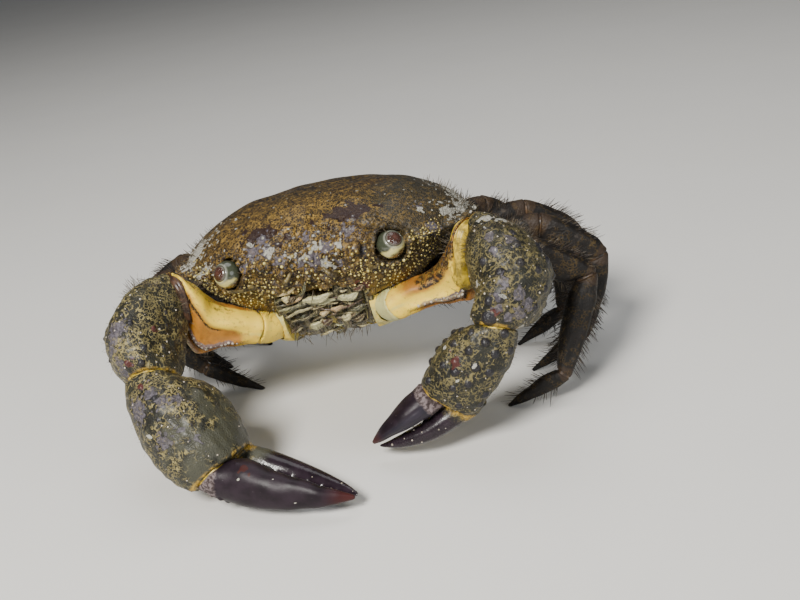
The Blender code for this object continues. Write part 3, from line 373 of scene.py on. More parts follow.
RED_ON_ARMS = (
    (-35.0, -46.5, 42.0, 0.9), (-42.9, -51.4, 35.1, 1.1), (35.7, -48.6, 27.7, 1.3),
    (-11.6, -73.0, 17.9, 1.1), (-38.5, -57.5, 32.5, 1.0), (47.0, -47.6, 38.6, 1.0),
)
WARTS = {
    "claw_right_carpus": (
        (-37.6, -49.6, 39.4, 0.9), (-38.5, -51.7, 35.1, 1.0), (-35.0, -46.5, 42.0, 0.7),
        (-41.1, -46.2, 44.8, 0.8), (-33.4, -47.2, 37.9, 0.7), (-42.9, -51.4, 35.1, 0.8),
    ),
    "claw_right_palm": ((-37.5, -58.6, 33.0, 0.9), (-33.5, -61.5, 31.5, 0.8), (-36.0, -64.0, 29.0, 0.8)),
    "claw_left_carpus": (
        (49.2, -44.2, 48.2, 1.15), (45.1, -47.0, 42.0, 1.2), (45.0, -47.2, 37.0, 2.0),
        (48.5, -47.4, 41.6, 1.2), (53.9, -42.7, 49.3, 1.1), (58.1, -40.1, 45.4, 1.1),
        (44.6, -42.4, 49.7, 1.1),
    ),
    "claw_left_palm": (
        (43.4, -49.0, 32.4, 1.2), (49.1, -46.7, 32.6, 1.15), (39.4, -48.7, 30.3, 1.15),
        (46.4, -48.4, 28.2, 1.25), (49.9, -47.2, 28.3, 1.15), (35.7, -48.6, 27.7, 1.2),
        (35.6, -49.7, 25.4, 1.2), (41.0, -49.7, 25.6, 1.25), (44.2, -48.6, 23.5, 1.2),
        (39.0, -49.6, 21.3, 1.1), (35.7, -44.9, 31.2, 1.1), (32.6, -47.3, 26.5, 1.0),
        (34.7, -49.5, 20.8, 1.0), (40.3, -45.3, 34.0, 1.1),
    ),
}
WARTS_APART = 4.2  # from a listed wart to one of a row
# How near the line of sight, and how far from a marking's place, the skin is where the marking is set
SIGHT_WIDTH, SIGHT_REACH = 0.7, 12.0
# Rows of warts on the sides that the list above leaves bare: angle, count, first and last place, radius
WART_ROWS = {
    "claw_right_carpus": ((10, 5, 0.25, 0.85, 0.6), (150, 5, 0.25, 0.85, 0.6)),
    "claw_right_palm": ((100, 5, 0.12, 0.7, 0.6), (125, 4, 0.15, 0.6, 0.6)),
    "claw_left_carpus": (
        (-15, 6, 0.3, 0.85, 1.0), (25, 6, 0.3, 0.85, 1.1), (65, 6, 0.3, 0.85, 1.1),
        (110, 5, 0.3, 0.8, 1.0),
    ),
    "claw_left_palm": (
        (-40, 5, 0.15, 0.85, 1.1), (-5, 5, 0.15, 0.88, 1.15), (30, 5, 0.15, 0.88, 1.15),
        (68, 5, 0.15, 0.85, 1.1), (104, 5, 0.15, 0.8, 1.0),
    ),
}

# Bristles
LEG_BRISTLES = {"merus": 260, "carpus": 140, "propodus": 280, "dactylus": 230}
PALE_SHARE = 0.18
# Zones of an arm: piece, first and last place, count, length
ARM_BRISTLES = (
    ("merus", 0.86, 0.99, 150, 0.7), ("carpus", 0.03, 0.16, 320, 0.75), ("carpus", 0.2, 0.9, 130, 0.45),
    ("palm", 0.05, 0.75, 110, 0.4), ("merus", 0.1, 0.8, 90, 0.5),
)

# Studio: the camera stands where the photograph was taken from
CAMERA_AT = (0.0613, -0.2698, 0.1407)
CAMERA_AZIMUTH = math.radians(10)
CAMERA_HEIGHT_ANGLE = math.radians(22)
CAMERA_ROLL = math.radians(9)
CAMERA_LENS = 50.0
SENSOR_WIDTH = 36.0
LIGHTS = (  # name, place, size in metres, watts, colour
    ("key", (-0.16, -0.60, 0.55), 0.24, 12.0, (1.0, 0.97, 0.92)),
    ("fill", (0.60, -0.50, 0.35), 0.5, 1.8, (0.92, 0.96, 1.0)),
    ("top", (0.0, 0.25, 0.80), 0.6, 2.2, (1.0, 1.0, 1.0)),
)
LIT_POINT = (0, -0.02, 0.03)
SKY, SKY_STRENGTH = (0.80, 0.83, 0.88), 0.12
FLOOR_SHADES = ((0.70, 0.69, 0.66), (0.74, 0.73, 0.70))
FLOOR_REACH = 4


def length(name, description, default, top=50.0):
    """A size in millimetres that a user may change."""
    return FloatProperty(name=name, description=description, default=default, min=0.0, max=top, precision=2)


def colour(name, description, default):
    """A colour that a user may change."""
    return FloatVectorProperty(
        name=name, description=description, subtype="COLOR", size=3, min=0.0, max=1.0, default=default
    )


class CrabSizes(bpy.types.PropertyGroup):
    """Sizes of the crab's finish, in millimetres."""

    skin: length("Skin fineness", "Spacing of the points of the carapace", 0.31)
    leg_skin: length("Leg fineness", "Spacing of the points of the walking legs", 0.45)
    net_shell: length("Shell speckle", "Spacing of the golden speckles on the carapace", 0.66)
    net_claw: length("Claw net", "Spacing of the golden net on the claws", 0.92)
    wart_height: length("Wart height", "Height of a wart as a share of its radius", 0.62)
    bead: length("Bead width", "Half width of the beads under the eyes", 0.30)
    bristle: length("Bristle width", "Half width of a bristle at its root", 0.026)
    leg_bristle: length("Leg bristle length", "Length of the bristles on the legs", 1.25)
    seed: IntProperty(name="Seed", description="Start of every scattered pattern", default=7, min=0)


class CrabColours(bpy.types.PropertyGroup):
    """Colours of the crab's finish."""

    shell: colour("Shell brown", "Carapace between its speckles", (0.019, 0.0088, 0.0034))
    shell_dark: colour("Shell shade", "Darker parts of the carapace", (0.0068, 0.0038, 0.0022))
    claw_shell: colour("Claw olive", "Claw arms between the lines of their net", (0.009, 0.009, 0.006))
    gold: colour("Gold", "Speckles of the carapace", (0.32, 0.195, 0.038))
    net: colour("Net", "Lines of the claws' net", (0.35, 0.285, 0.110))
    olive: colour("Olive", "Greyer parts of the claws and of the carapace", (0.025, 0.025, 0.017))
    maroon: colour("Maroon", "The two dark patches on the carapace", (0.015, 0.0042, 0.003))
    lilac: colour("Lilac", "Crust patches", (0.145, 0.128, 0.155))
    chalk: colour("Chalk", "White growths", (0.35, 0.34, 0.29))
    wart: colour("Wart", "Warts of the claws", (0.013, 0.012, 0.016))
    red: colour("Red", "A few reddish spots", (0.080, 0.020, 0.016))
    orange: colour("Orange", "Soft inner sides of the arms", (0.42, 0.175, 0.022))
    yellow: colour("Yellow", "Ridge of the inner sides", (0.84, 0.585, 0.055))
    cream: colour("Cream", "Underside", (0.50, 0.48, 0.20))
    finger: colour("Finger", "Dark fingers", (0.010, 0.006, 0.009))
    finger_tip: colour("Fingertip", "Ends of the fingers", (0.055, 0.011, 0.009))
    mouth: colour("Mouth", "Mouthparts in the folds", (0.018, 0.017, 0.009))
    mouth_light: colour("Mouth stripe", "Stripes of the mouthparts", (0.64, 0.55, 0.28))
    eye: colour("Eye", "Eyestalk", (0.56, 0.50, 0.19))
    eye_shade: colour("Eye shade", "Grey-green side of the eyestalk", (0.040, 0.046, 0.028))
    cornea: colour("Cornea", "Eye facets", (0.050, 0.019, 0.012))
    leg: colour("Leg brown", "Walking legs", (0.0075, 0.0048, 0.0032))
    bristle_pale: colour("Pale bristle", "Pale bristles", (0.13, 0.10, 0.06))
    bristle_dark: colour("Dark bristle", "Dark bristles", (0.020, 0.012, 0.007))


# Shapes


def unit(vector):
    vector = np.asarray(vector, float)
    return vector / np.linalg.norm(vector)


def ease(value, low, high):
    """0 up to low, 1 from high on, and smooth between."""
    share = np.clip((np.asarray(value, float) - low) / (high - low), 0, 1)
    return share * share * (3 - 2 * share)


def near(value, middle, width):
    """1 at the middle, falling evenly to 0 on both sides of it."""
    return np.exp(-(((value - middle) / width) ** 2))


def through(keys, at):
    """A curve through the rows of keys (position, values...), with no overshoot, read at these positions."""
    keys = np.array(keys, float)
    place, value = keys[:, 0], keys[:, 1:]
    step = np.diff(place)[:, None]
    slope = np.diff(value, axis=0) / step
    before, after = slope[:-1], slope[1:]
    rising = before * after > 0
    both = np.where(rising, before + after, 1.0)
    tangent = np.vstack([slope[:1], np.where(rising, 2 * before * after / both, 0.0), slope[-1:]])
    at = np.clip(np.atleast_1d(np.asarray(at, float)), place[0], place[-1])
    cell = np.clip(np.searchsorted(place, at, side="right") - 1, 0, len(place) - 2)
    span = step[cell]
    share = ((at - place[cell]) / span[:, 0])[:, None]
    lead, trail = share**2 * (3 - 2 * share), share * (1 - share)
    return (
        value[cell] * (1 - lead)
        + value[cell + 1] * lead
        + span * trail * (tangent[cell] * (1 - share) - tangent[cell + 1] * share)
    )


def body_matrix():
    return np.array(
        Matrix.Translation((0, 0, BODY_HEIGHT))
        @ Matrix.Rotation(BODY_ROLL, 4, "Y")
        @ Matrix.Rotation(BODY_PITCH, 4, "X")
    )


def in_body(points):
    """Points of the body's frame, where they stand over the floor."""
    matrix = body_matrix()
    return np.asarray(points, float) @ matrix[:3, :3].T + matrix[:3, 3]


def to_body(points):
    """Points that stand over the floor, in the body's frame."""
    inverse = np.linalg.inv(body_matrix())
    return np.asarray(points, float) @ inverse[:3, :3].T + inverse[:3, 3]


def body_ways(ways):
    """Directions in the body's frame, as they point where it stands."""
    return np.asarray(ways, float) @ body_matrix()[:3, :3].T


def stood(points):
    """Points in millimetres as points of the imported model, in metres."""
    return (np.asarray(points) + np.array(ORIGIN_SHIFT)) * MM


def mirrored(point, side):
    return np.array([point[0] * side, point[1], point[2]], float)


def from_orbit(points, side):
    """How far the points lie from the middle of this side's orbit."""
    return np.linalg.norm(points - mirrored(ORBIT, side), axis=1)


def mirrored_line(line, side):
    return [(across * side, down, out) for across, down, out in line]


def oval(sides, power):
    angle = (np.arange(sides) + 0.5) * TAU / sides
    across, along = np.cos(angle), np.sin(angle)
    return (
        np.sign(across) * np.abs(across) ** (2 / power),
        np.sign(along) * np.abs(along) ** (2 / power),
    )


WAVES = 14  # of one wobble


def wobble(points, size, seed):
    """A smooth uneven field over space, mostly between -1 and 1, whose swellings lie about this far apart."""
    chance = np.random.default_rng(seed)
    ways = chance.normal(size=(WAVES, 3))
    ways /= np.linalg.norm(ways, axis=1)[:, None]
    pace = chance.uniform(0.6, 1.5, WAVES) * TAU / (2 * size)
    start = chance.uniform(0, TAU, WAVES)
    return np.sin(points @ (ways * pace[:, None]).T + start).sum(1) * 1.25 / math.sqrt(WAVES)


def spots(points, places, soft=0.35, ragged=0.3):
    """1 inside any of the places (x, y, z, radius), falling to 0 past an uneven outline."""
    mask = np.zeros(len(points))
    uneven = 1 + ragged * wobble(points, 0.9, 15)
    for x, y, z, radius in places:
        away = np.linalg.norm(points - (x, y, z), axis=1) / radius * uneven
        mask = np.maximum(mask, 1 - ease(away, 1 - soft, 1 + soft))
    return mask


class Segment:
    """One length of a limb: rounded sections along a line, with flat ends that lie in the joints' planes."""

    BLEND = 0.35

    def __init__(
        self, start, end, aside, above, keys, start_face=None, end_face=None, power=2.3, narrowing=0.0
    ):
        self.narrowing = narrowing
        self.start, self.end = np.asarray(start, float), np.asarray(end, float)
        self.axis = unit(self.end - self.start)
        self.long = np.linalg.norm(self.end - self.start)
        self.aside = np.asarray(aside, float)
        self.keys = [tuple(row) + (0.0,) * (5 - len(row)) for row in keys]
        self.start_face = self.axis if start_face is None else unit(start_face)
        self.end_face = self.axis if end_face is None else unit(end_face)
        self.power = power
        level = np.cross(self.axis, self.aside)
        self.hand = 1.0 if level @ np.asarray(above, float) > 0 else -1.0

    def frame(self, at):
        """Centre, side and up of the section at this share of the length, and its half sizes."""
        near_start = max(0.0, 1 - at / self.BLEND)
        near_end = max(0.0, 1 - (1 - at) / self.BLEND)
        normal = unit(
            self.axis
            + (self.start_face - self.axis) * near_start
            + (self.end_face - self.axis) * near_end
        )
        aside = unit(self.aside - normal * (self.aside @ normal))
        up = np.cross(normal, aside) * self.hand
        half_width, half_height, shift_aside, shift_up = through(self.keys, at)[0]
        centre = self.start + (self.end - self.start) * at + aside * shift_aside + up * shift_up
        return centre, aside, up, half_width, half_height

    def rings(self, count, sides, grow=0.0):
        across, along = oval(sides, self.power)
        rows = []
        for order, at in enumerate(np.linspace(0, 1, count)):
            centre, aside, up, half_width, half_height = self.frame(at)
            points = (
                centre
                + np.outer(across * (half_width * (1 - self.narrowing * along) + grow), aside)
                + np.outer(along * (half_height + grow), up)
            )
            for end, face, near in (
                (self.start, self.start_face, order),
                (self.end, -self.end_face, count - 1 - order),
            ):
                within = (points - end) @ face
                least = 0.12 * near - grow
                keep = np.full(len(points), least) if near == 0 else np.maximum(within, least)
                points = points + np.outer(keep - within, face)
            rows.append(points)
        return np.array(rows)

    def surface(self, at, turn):
        """A point of the side surface at this share and angle, and the way out of it."""
        centre, aside, up, half_width, half_height = self.frame(at)
        across, along = math.cos(turn), math.sin(turn)
        power = 2 / self.power
        b = math.copysign(abs(along) ** power, along) * half_height
        a = math.copysign(abs(across) ** power, across) * half_width
        a *= 1 - self.narrowing * b / half_height
        out = unit(aside * (across / half_width) + up * (along / half_height))
        return centre + aside * a + up * b, out

    def from_ends(self, points):
        """How far the points lie within the planes of the start and of the end."""
        return (points - self.start) @ self.start_face, (self.end - points) @ self.end_face

    def local(self, points):
        """Share of the length and angle round it, for points on or near the surface."""
        at = np.clip((points - self.start) @ self.axis / self.long, 0, 1)
        aside = unit(self.aside - self.axis * (self.aside @ self.axis))
        up = np.cross(self.axis, aside) * self.hand
        sizes = through(self.keys, at)
        away = points - self.start - np.outer(at * self.long, self.axis)
        along = (away @ up - sizes[:, 3]) / sizes[:, 1]
        across = (away @ aside - sizes[:, 2]) / sizes[:, 0] / (1 - self.narrowing * np.clip(along, -1, 1))
        return at, np.arctan2(along, across)


def skin(rows):
    """Closed faces over rings of points, with a flat cap at each end."""
    rows = np.asarray(rows, float)
    count, sides = rows.shape[:2]
    faces = [
        (i * sides + j, i * sides + (j + 1) % sides, (i + 1) * sides + (j + 1) % sides, (i + 1) * sides + j)
        for i in range(count - 1)
        for j in range(sides)
    ]
    faces.append(tuple(range(sides))[::-1])
    faces.append(tuple((count - 1) * sides + j for j in range(sides)))
    return rows.reshape(-1, 3), faces


def bands(first, count, sides):
    """The faces between rings that follow one another, from this point on."""
    lows = [first + i * sides for i in range(count - 1)]
    return [
        (low + j, low + sides + j, low + sides + (j + 1) % sides, low + (j + 1) % sides)
        for low in lows for j in range(sides)
    ]


def ball(centre, radii, rings, sides):
    """An ellipsoid from rings of points and two poles."""
    points = [[0, 0, 1]]
    for i in range(1, rings):
        polar = math.pi * i / rings
        for j in range(sides):
            turned = TAU * j / sides
            flat = math.sin(polar)
            points.append([flat * math.cos(turned), flat * math.sin(turned), math.cos(polar)])
    points.append([0, 0, -1])
    last = len(points) - 1
    faces = [(0, 1 + j, 1 + (j + 1) % sides) for j in range(sides)]
    faces += bands(1, rings - 1, sides)
    low = 1 + (rings - 2) * sides
    faces += [(low + j, last, low + (j + 1) % sides) for j in range(sides)]
    return np.array(points) * np.asarray(radii, float) + np.asarray(centre, float), faces


def upright(way):
    """Two directions square to this one."""
    way = unit(way)
    aside = unit(np.cross(way, [0.31, 0.52, 0.79]))
    return aside, np.cross(way, aside)


THORN_SIDES = 10
# The rings of a thorn: how far out, as a share of its height, and how wide, as a share of its half width
THORN = ((-0.6, 1.25), (0.0, 1.1), (0.25, 0.86), (0.5, 0.62), (0.75, 0.38), (0.93, 0.2), (1.0, 0.08))


def spike(point, out, size, lean=(0.0, 0.0, 0.0)):
    """A closed thorn with a full root, sunk into the surface it grows from."""
    radius, height = size
    out = unit(out)
    aside, up = upright(out)
    turn = np.arange(THORN_SIDES) * TAU / THORN_SIDES
    rim = np.outer(np.cos(turn), aside) + np.outer(np.sin(turn), up)
    rows = []
    for lift, wide in THORN:
        bend = np.asarray(lean) * height * max(lift, 0) ** 2
        rows.append(np.asarray(point) + out * height * lift + bend + rim * radius * wide)
    return skin(rows)


def ribbon(line, widths, thicks, face, count, sides, power, swell):
    """A tapering strip that follows a curve: its points, faces and each point's share along and across."""
    keys = np.array(line, float)
    keys = np.column_stack([np.linspace(0, 1, len(keys)), keys])
    at = np.linspace(0, 1, count)
    middle = through(keys, at)
    ahead = through(keys, np.minimum(at + 0.02, 1)) - through(keys, np.maximum(at - 0.02, 0))
    half_width, half_thick = through(widths, at)[:, 0], through(thicks, at)[:, 0]
    across, along = oval(sides, power)
    rows, marks = [], []
    for k in range(count):
        way = unit(ahead[k])
        out = unit(np.asarray(face) - way * (np.asarray(face) @ way))
        aside = np.cross(way, out)
        bulge = 1.0 if swell is None else 1 + swell[0] * np.cos(at[k] * swell[1] * TAU)
        rows.append(
            middle[k]
            + np.outer(across * half_width[k] * bulge, aside)
            + np.outer(along * half_thick[k] * bulge, out)
        )
        marks.append(np.column_stack([np.full(sides, at[k]), across]))
    points, faces = skin(np.array(rows))
    return points, faces, np.vstack(marks)


def joined(shells):
    """Several closed surfaces as one list of points and faces."""
    points, faces, count = [], [], 0
    for shell_points, shell_faces in shells:
        points.append(np.asarray(shell_points, float))
        faces += [tuple(count + i for i in face) for face in shell_faces]
        count += len(shell_points)
    return np.vstack(points), faces


def linked(name, data):
    """A new object in the scene."""
    thing = bpy.data.objects.new(name, data)
    bpy.context.scene.collection.objects.link(thing)
    return thing


def loose_object(name, points, faces):
    """A mesh object with its faces turned outwards."""
    mesh = bpy.data.meshes.new(name)
    mesh.from_pydata(np.asarray(points, float).tolist(), [], faces)
    work = bmesh.new()
    work.from_mesh(mesh)
    bmesh.ops.recalc_face_normals(work, faces=work.faces)
    work.to_mesh(mesh)
    work.free()
    return linked(name, mesh)


def plain_mesh(thing):
    """The object's mesh with its modifiers worked in."""
    bpy.context.view_layer.update()
    graph = bpy.context.evaluated_depsgraph_get()
    return bpy.data.meshes.new_from_object(thing.evaluated_get(graph))


def read(collection, name):
    """The vectors that a mesh keeps under this name, one a row."""
    values = np.empty(len(collection) * 3, np.float32)
    collection.foreach_get(name, values)
    return values.reshape(-1, 3).astype(float)


def cut(thing, cutters):
    """Cuts closed pieces out of an object."""
    group = bpy.data.collections.new("cutters")
    bpy.context.scene.collection.children.link(group)
    for points, faces in cutters:
        piece = loose_object("cutter", points, faces)
        bpy.context.scene.collection.objects.unlink(piece)
        group.objects.link(piece)
    boolean = thing.modifiers.new("cut", "BOOLEAN")
    boolean.operation = "DIFFERENCE"
    boolean.operand_type = "COLLECTION"
    boolean.collection = group
    boolean.solver = "EXACT"
    mesh = plain_mesh(thing)
    thing.modifiers.clear()
    thing.data = mesh
    for piece in list(group.objects):
        bpy.data.objects.remove(piece, do_unlink=True)
    bpy.data.collections.remove(group)


def place(name, mesh, material, slot, nodes=(), masks=None):
    """Makes a finished mesh in metres an object that rides on the crab and stands for its solids."""
    for mask, values in (masks or {}).items():
        layer = mesh.attributes.new(mask, "FLOAT", "POINT")
        layer.data.foreach_set("value", np.asarray(values, np.float32))
    mesh.materials.clear()
    mesh.materials.append(material)
    mesh.shade_smooth()
    mesh.name = name
    thing = linked(name, mesh)
    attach(thing, "root")
    if nodes:
        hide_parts(*nodes)
    return thing


def shape(name, points, faces, material, slot, nodes=(), masks=None):
    """A finished piece from points in millimetres, where they stand."""
    loose = loose_object(name, stood(points), faces)
    mesh = loose.data
    bpy.data.objects.remove(loose)
    return place(name, mesh, material, slot, nodes, masks)


class Clay:
    """A closed skin in the making: even points, the way out at each, and the masks painted on them."""

    def __init__(self, shells, fineness, smoothing, cutters=(), extra=()):
        thing = loose_object("clay", *joined(shells))
        if cutters:
            cut(thing, cutters)
        if extra:
            more = loose_object("extra", *joined(extra))
            work = bmesh.new()
            work.from_mesh(thing.data)
            work.from_mesh(more.data)
            work.to_mesh(thing.data)
            work.free()
            bpy.data.objects.remove(more)
        even = thing.modifiers.new("even skin", "REMESH")
        even.mode = "VOXEL"
        even.voxel_size = fineness
        self.mesh = plain_mesh(thing)
        bpy.data.objects.remove(thing)
        self.points = read(self.mesh.vertices, "co")
        edges = np.empty(len(self.mesh.edges) * 2, np.int32)
        self.mesh.edges.foreach_get("vertices", edges)
        self.edges = edges.reshape(-1, 2)
        self.links = np.bincount(edges, minlength=len(self.points))[:, None].clip(1)
        self.masks = {}
        self.smooth(smoothing)

    def average(self, values):
        """Each point's mean over its neighbours."""
        first, second = self.edges.T
        total = [
            np.bincount(first, column[second], len(values)) + np.bincount(second, column[first], len(values))
            for column in values.T
        ]
        return np.column_stack(total) / self.links

    def smooth(self, steps):
        for _ in range(steps):
            self.points = self.points * 0.5 + self.average(self.points) * 0.5
        self.update()

    def update(self):
        self.mesh.vertices.foreach_set("co", self.points.astype(np.float32).ravel())
        self.mesh.update()
        self.out = read(self.mesh.vertex_normals, "vector")

    def thin(self, most):
        """Takes faces out where the skin is even, to no more triangles than this."""
        thing = linked("thin", self.mesh)
        fewer = thing.modifiers.new("fewer faces", "DECIMATE")
        fewer.ratio = min(1.0, most / (len(self.mesh.loops) - 2 * len(self.mesh.polygons)))
        fewer.use_collapse_triangulate = True
        self.mesh = plain_mesh(thing)
        bpy.data.objects.remove(thing)
        self.points = read(self.mesh.vertices, "co")
        self.update()

    def push(self, amount):
        """Moves every point along the way out."""
        self.points = self.points + self.out * np.asarray(amount)[:, None]
        self.update()

    def nearest(self, places):
        tree = KDTree(len(self.points))
        for k, point in enumerate(self.points):
            tree.insert(point, k)
        tree.balance()
        return np.array([tree.find(p)[1] for p in places])

    def in_sight(self, places):
        """The places (x, y, z, ...), moved along the camera's line of sight to where it meets the skin."""
        eye = np.array(CAMERA_AT) / MM - np.array(ORIGIN_SHIFT)
        away, moved = self.points - eye, []
        for row in places:
            ray = unit(np.array(row[:3]) - eye)
            along = away @ ray
            close = np.flatnonzero(np.linalg.norm(away - np.outer(along, ray), axis=1) < SIGHT_WIDTH)
            if len(close):
                met = self.points[close[np.argmin(along[close])]]
                if np.linalg.norm(met - row[:3]) < SIGHT_REACH:
                    moved.append((*met, *row[3:]))
        return moved

    def domes(self, places, high, sharp):
        """Raises a round wart at each place (x, y, z, radius), and gives the mask of them."""
        mask = np.zeros(len(self.points))
        lift = np.zeros(len(self.points))
        if not len(places):
            return mask
        places = np.array(places, float)
        for at, row in zip(self.nearest(places[:, :3]), places):
            away = np.linalg.norm(self.points - self.points[at], axis=1) / row[3]
            rise = np.clip(1 - away**2, 0, 1) ** sharp
            lift = np.maximum(lift, rise * row[3] * high)
            mask = np.maximum(mask, 1 - ease(away, 0.75, 1.1))
        self.push(lift)
        return mask

    def scatter(self, weight, spacing, count, seed):
        """Points of the skin chosen by weight, no two nearer than the spacing."""
        chance = np.random.default_rng(seed)
        weight = np.clip(weight, 0, None)
        picked = np.flatnonzero(chance.random(len(weight)) < weight)
        chance.shuffle(picked)
        taken, kept = {}, []
        for k in picked:
            cell = tuple(np.floor(self.points[k] / spacing).astype(int))
            close = [
                other
                for dx in (-1, 0, 1) for dy in (-1, 0, 1) for dz in (-1, 0, 1)
                for other in taken.get((cell[0] + dx, cell[1] + dy, cell[2] + dz), ())
            ]
            if close and np.min(np.linalg.norm(self.points[close] - self.points[k], axis=1)) < spacing:
                continue
            taken.setdefault(cell, []).append(k)
            kept.append(k)
            if len(kept) >= count:
                break
        return np.array(kept, int)

    def flatten(self):
        """Keeps the skin over the floor."""
        self.points[:, 2] = np.maximum(self.points[:, 2], FLOOR_ROOM)
        self.update()

    def finish(self, name, material, slot, nodes=(), body=False):
        points = in_body(self.points) if body else self.points
        self.mesh.vertices.foreach_set("co", stood(points).astype(np.float32).ravel())
        self.mesh.update()
        return place(name, self.mesh, material, slot, nodes, self.masks)


# Materials and scattered forms


def worked(operation, turned=False):
    """A method that gives the outcome of a sum of a Value and another value."""
    def method(self, other):
        pair = (other, self) if turned else (self, other)
        return self.graph.node("Math", {"operation": operation}, dict(enumerate(pair)))
    return method


class Value:
    """One output of a node, which takes part in sums as a number does."""

    def __init__(self, graph, socket):
        self.graph, self.socket = graph, socket

    __add__, __radd__ = worked("ADD"), worked("ADD", True)
    __sub__, __rsub__ = worked("SUBTRACT"), worked("SUBTRACT", True)
    __mul__, __rmul__ = worked("MULTIPLY"), worked("MULTIPLY", True)
    most = worked("MAXIMUM")

    def ease(self, low, high):
        """0 up to low and 1 from high on, or the other way round where low is the greater."""
        sockets = {0: self, 1: min(low, high), 2: max(low, high)}
        sockets[3], sockets[4] = (0.0, 1.0) if low < high else (1.0, 0.0)
        return self.graph.node("MapRange", {"interpolation_type": "SMOOTHSTEP"}, sockets)


class Graph:
    """A node tree that is written as sums and calls."""

    prefix = "ShaderNode"

    def __init__(self, tree):
        self.tree = tree

    def node(self, kind, settings=None, sockets=None, output=0):
        kind = kind if "Node" in kind else self.prefix + kind
        made = self.tree.nodes.new(kind)
        for name, value in (settings or {}).items():
            setattr(made, name, value)
        for name, value in (sockets or {}).items():
            if isinstance(value, Value):
                self.tree.links.new(value.socket, made.inputs[name])
            else:
                made.inputs[name].default_value = value
        return Value(self, made.outputs[output])


class Paint(Graph):
    """A material in the making. Patterns are sized in millimetres, on Object coordinates."""

    def __init__(self, name):
        self.material = bpy.data.materials.new(name)
        self.material.use_nodes = True
        super().__init__(self.material.node_tree)
        self.shader = self.tree.nodes["Principled BSDF"]
        self.place = self.node("TexCoord", output="Object")

    def mask(self, name):
        return self.node("Attribute", {"attribute_name": name}, output="Fac")

    def noise(self, size, detail=3.0, rough=0.55, at=None, output=0):
        sockets = {"Vector": at or self.place, "Scale": 1000.0 / size, "Detail": detail, "Roughness": rough}
        return self.node("TexNoise", None, sockets, output)

    def cells(self, size, feature="F1", at=None):
        sockets = {"Vector": at or self.place, "Scale": 1000.0 / size}
        return self.node("TexVoronoi", {"feature": feature}, sockets, "Distance")

    def shaken(self, size, amount):
        """The coordinates, pushed about by noise."""
        noise = {0: self.noise(size, 2.0, output=1), 1: (0.5, 0.5, 0.5)}
        push = self.node("VectorMath", {"operation": "SUBTRACT"}, noise)
        push = self.node("VectorMath", {"operation": "SCALE"}, {0: push, "Scale": amount * MM})
        return self.node("VectorMath", {"operation": "ADD"}, {0: self.place, 1: push})

    def mix(self, mask, first, second):
        """The first colour, and the second where the mask is 1."""
        pair = [value if isinstance(value, Value) else (*value, 1.0) for value in (first, second)]
        return self.node("Mix", {"data_type": "RGBA"}, {0: mask, 6: pair[0], 7: pair[1]}, 2)

    def finish(self, colour, roughness, height=None, depth=0.1, **constants):
        """Ties the colour, roughness and surface height (of this depth in millimetres) to the shader."""
        for name, value in (("Base Color", colour), ("Roughness", roughness)):
            if isinstance(value, Value):
                self.tree.links.new(value.socket, self.shader.inputs[name])
            else:
                self.shader.inputs[name].default_value = (*value, 1.0) if name == "Base Color" else value
        if height is not None:
            bump = self.node("Bump", None, {"Strength": 1.0, "Distance": depth * MM, "Height": height})
            self.tree.links.new(bump.socket, self.shader.inputs["Normal"])
        for name, value in constants.items():
            name = name.replace("_", " ").title().replace("Ior", "IOR")
            self.shader.inputs[name].default_value = value
        return self.material


def shades():
    return bpy.context.scene.crab_colours


def sizes():
    return bpy.context.scene.crab_sizes


def scaled(values, factor):
    return tuple(v * factor for v in values)


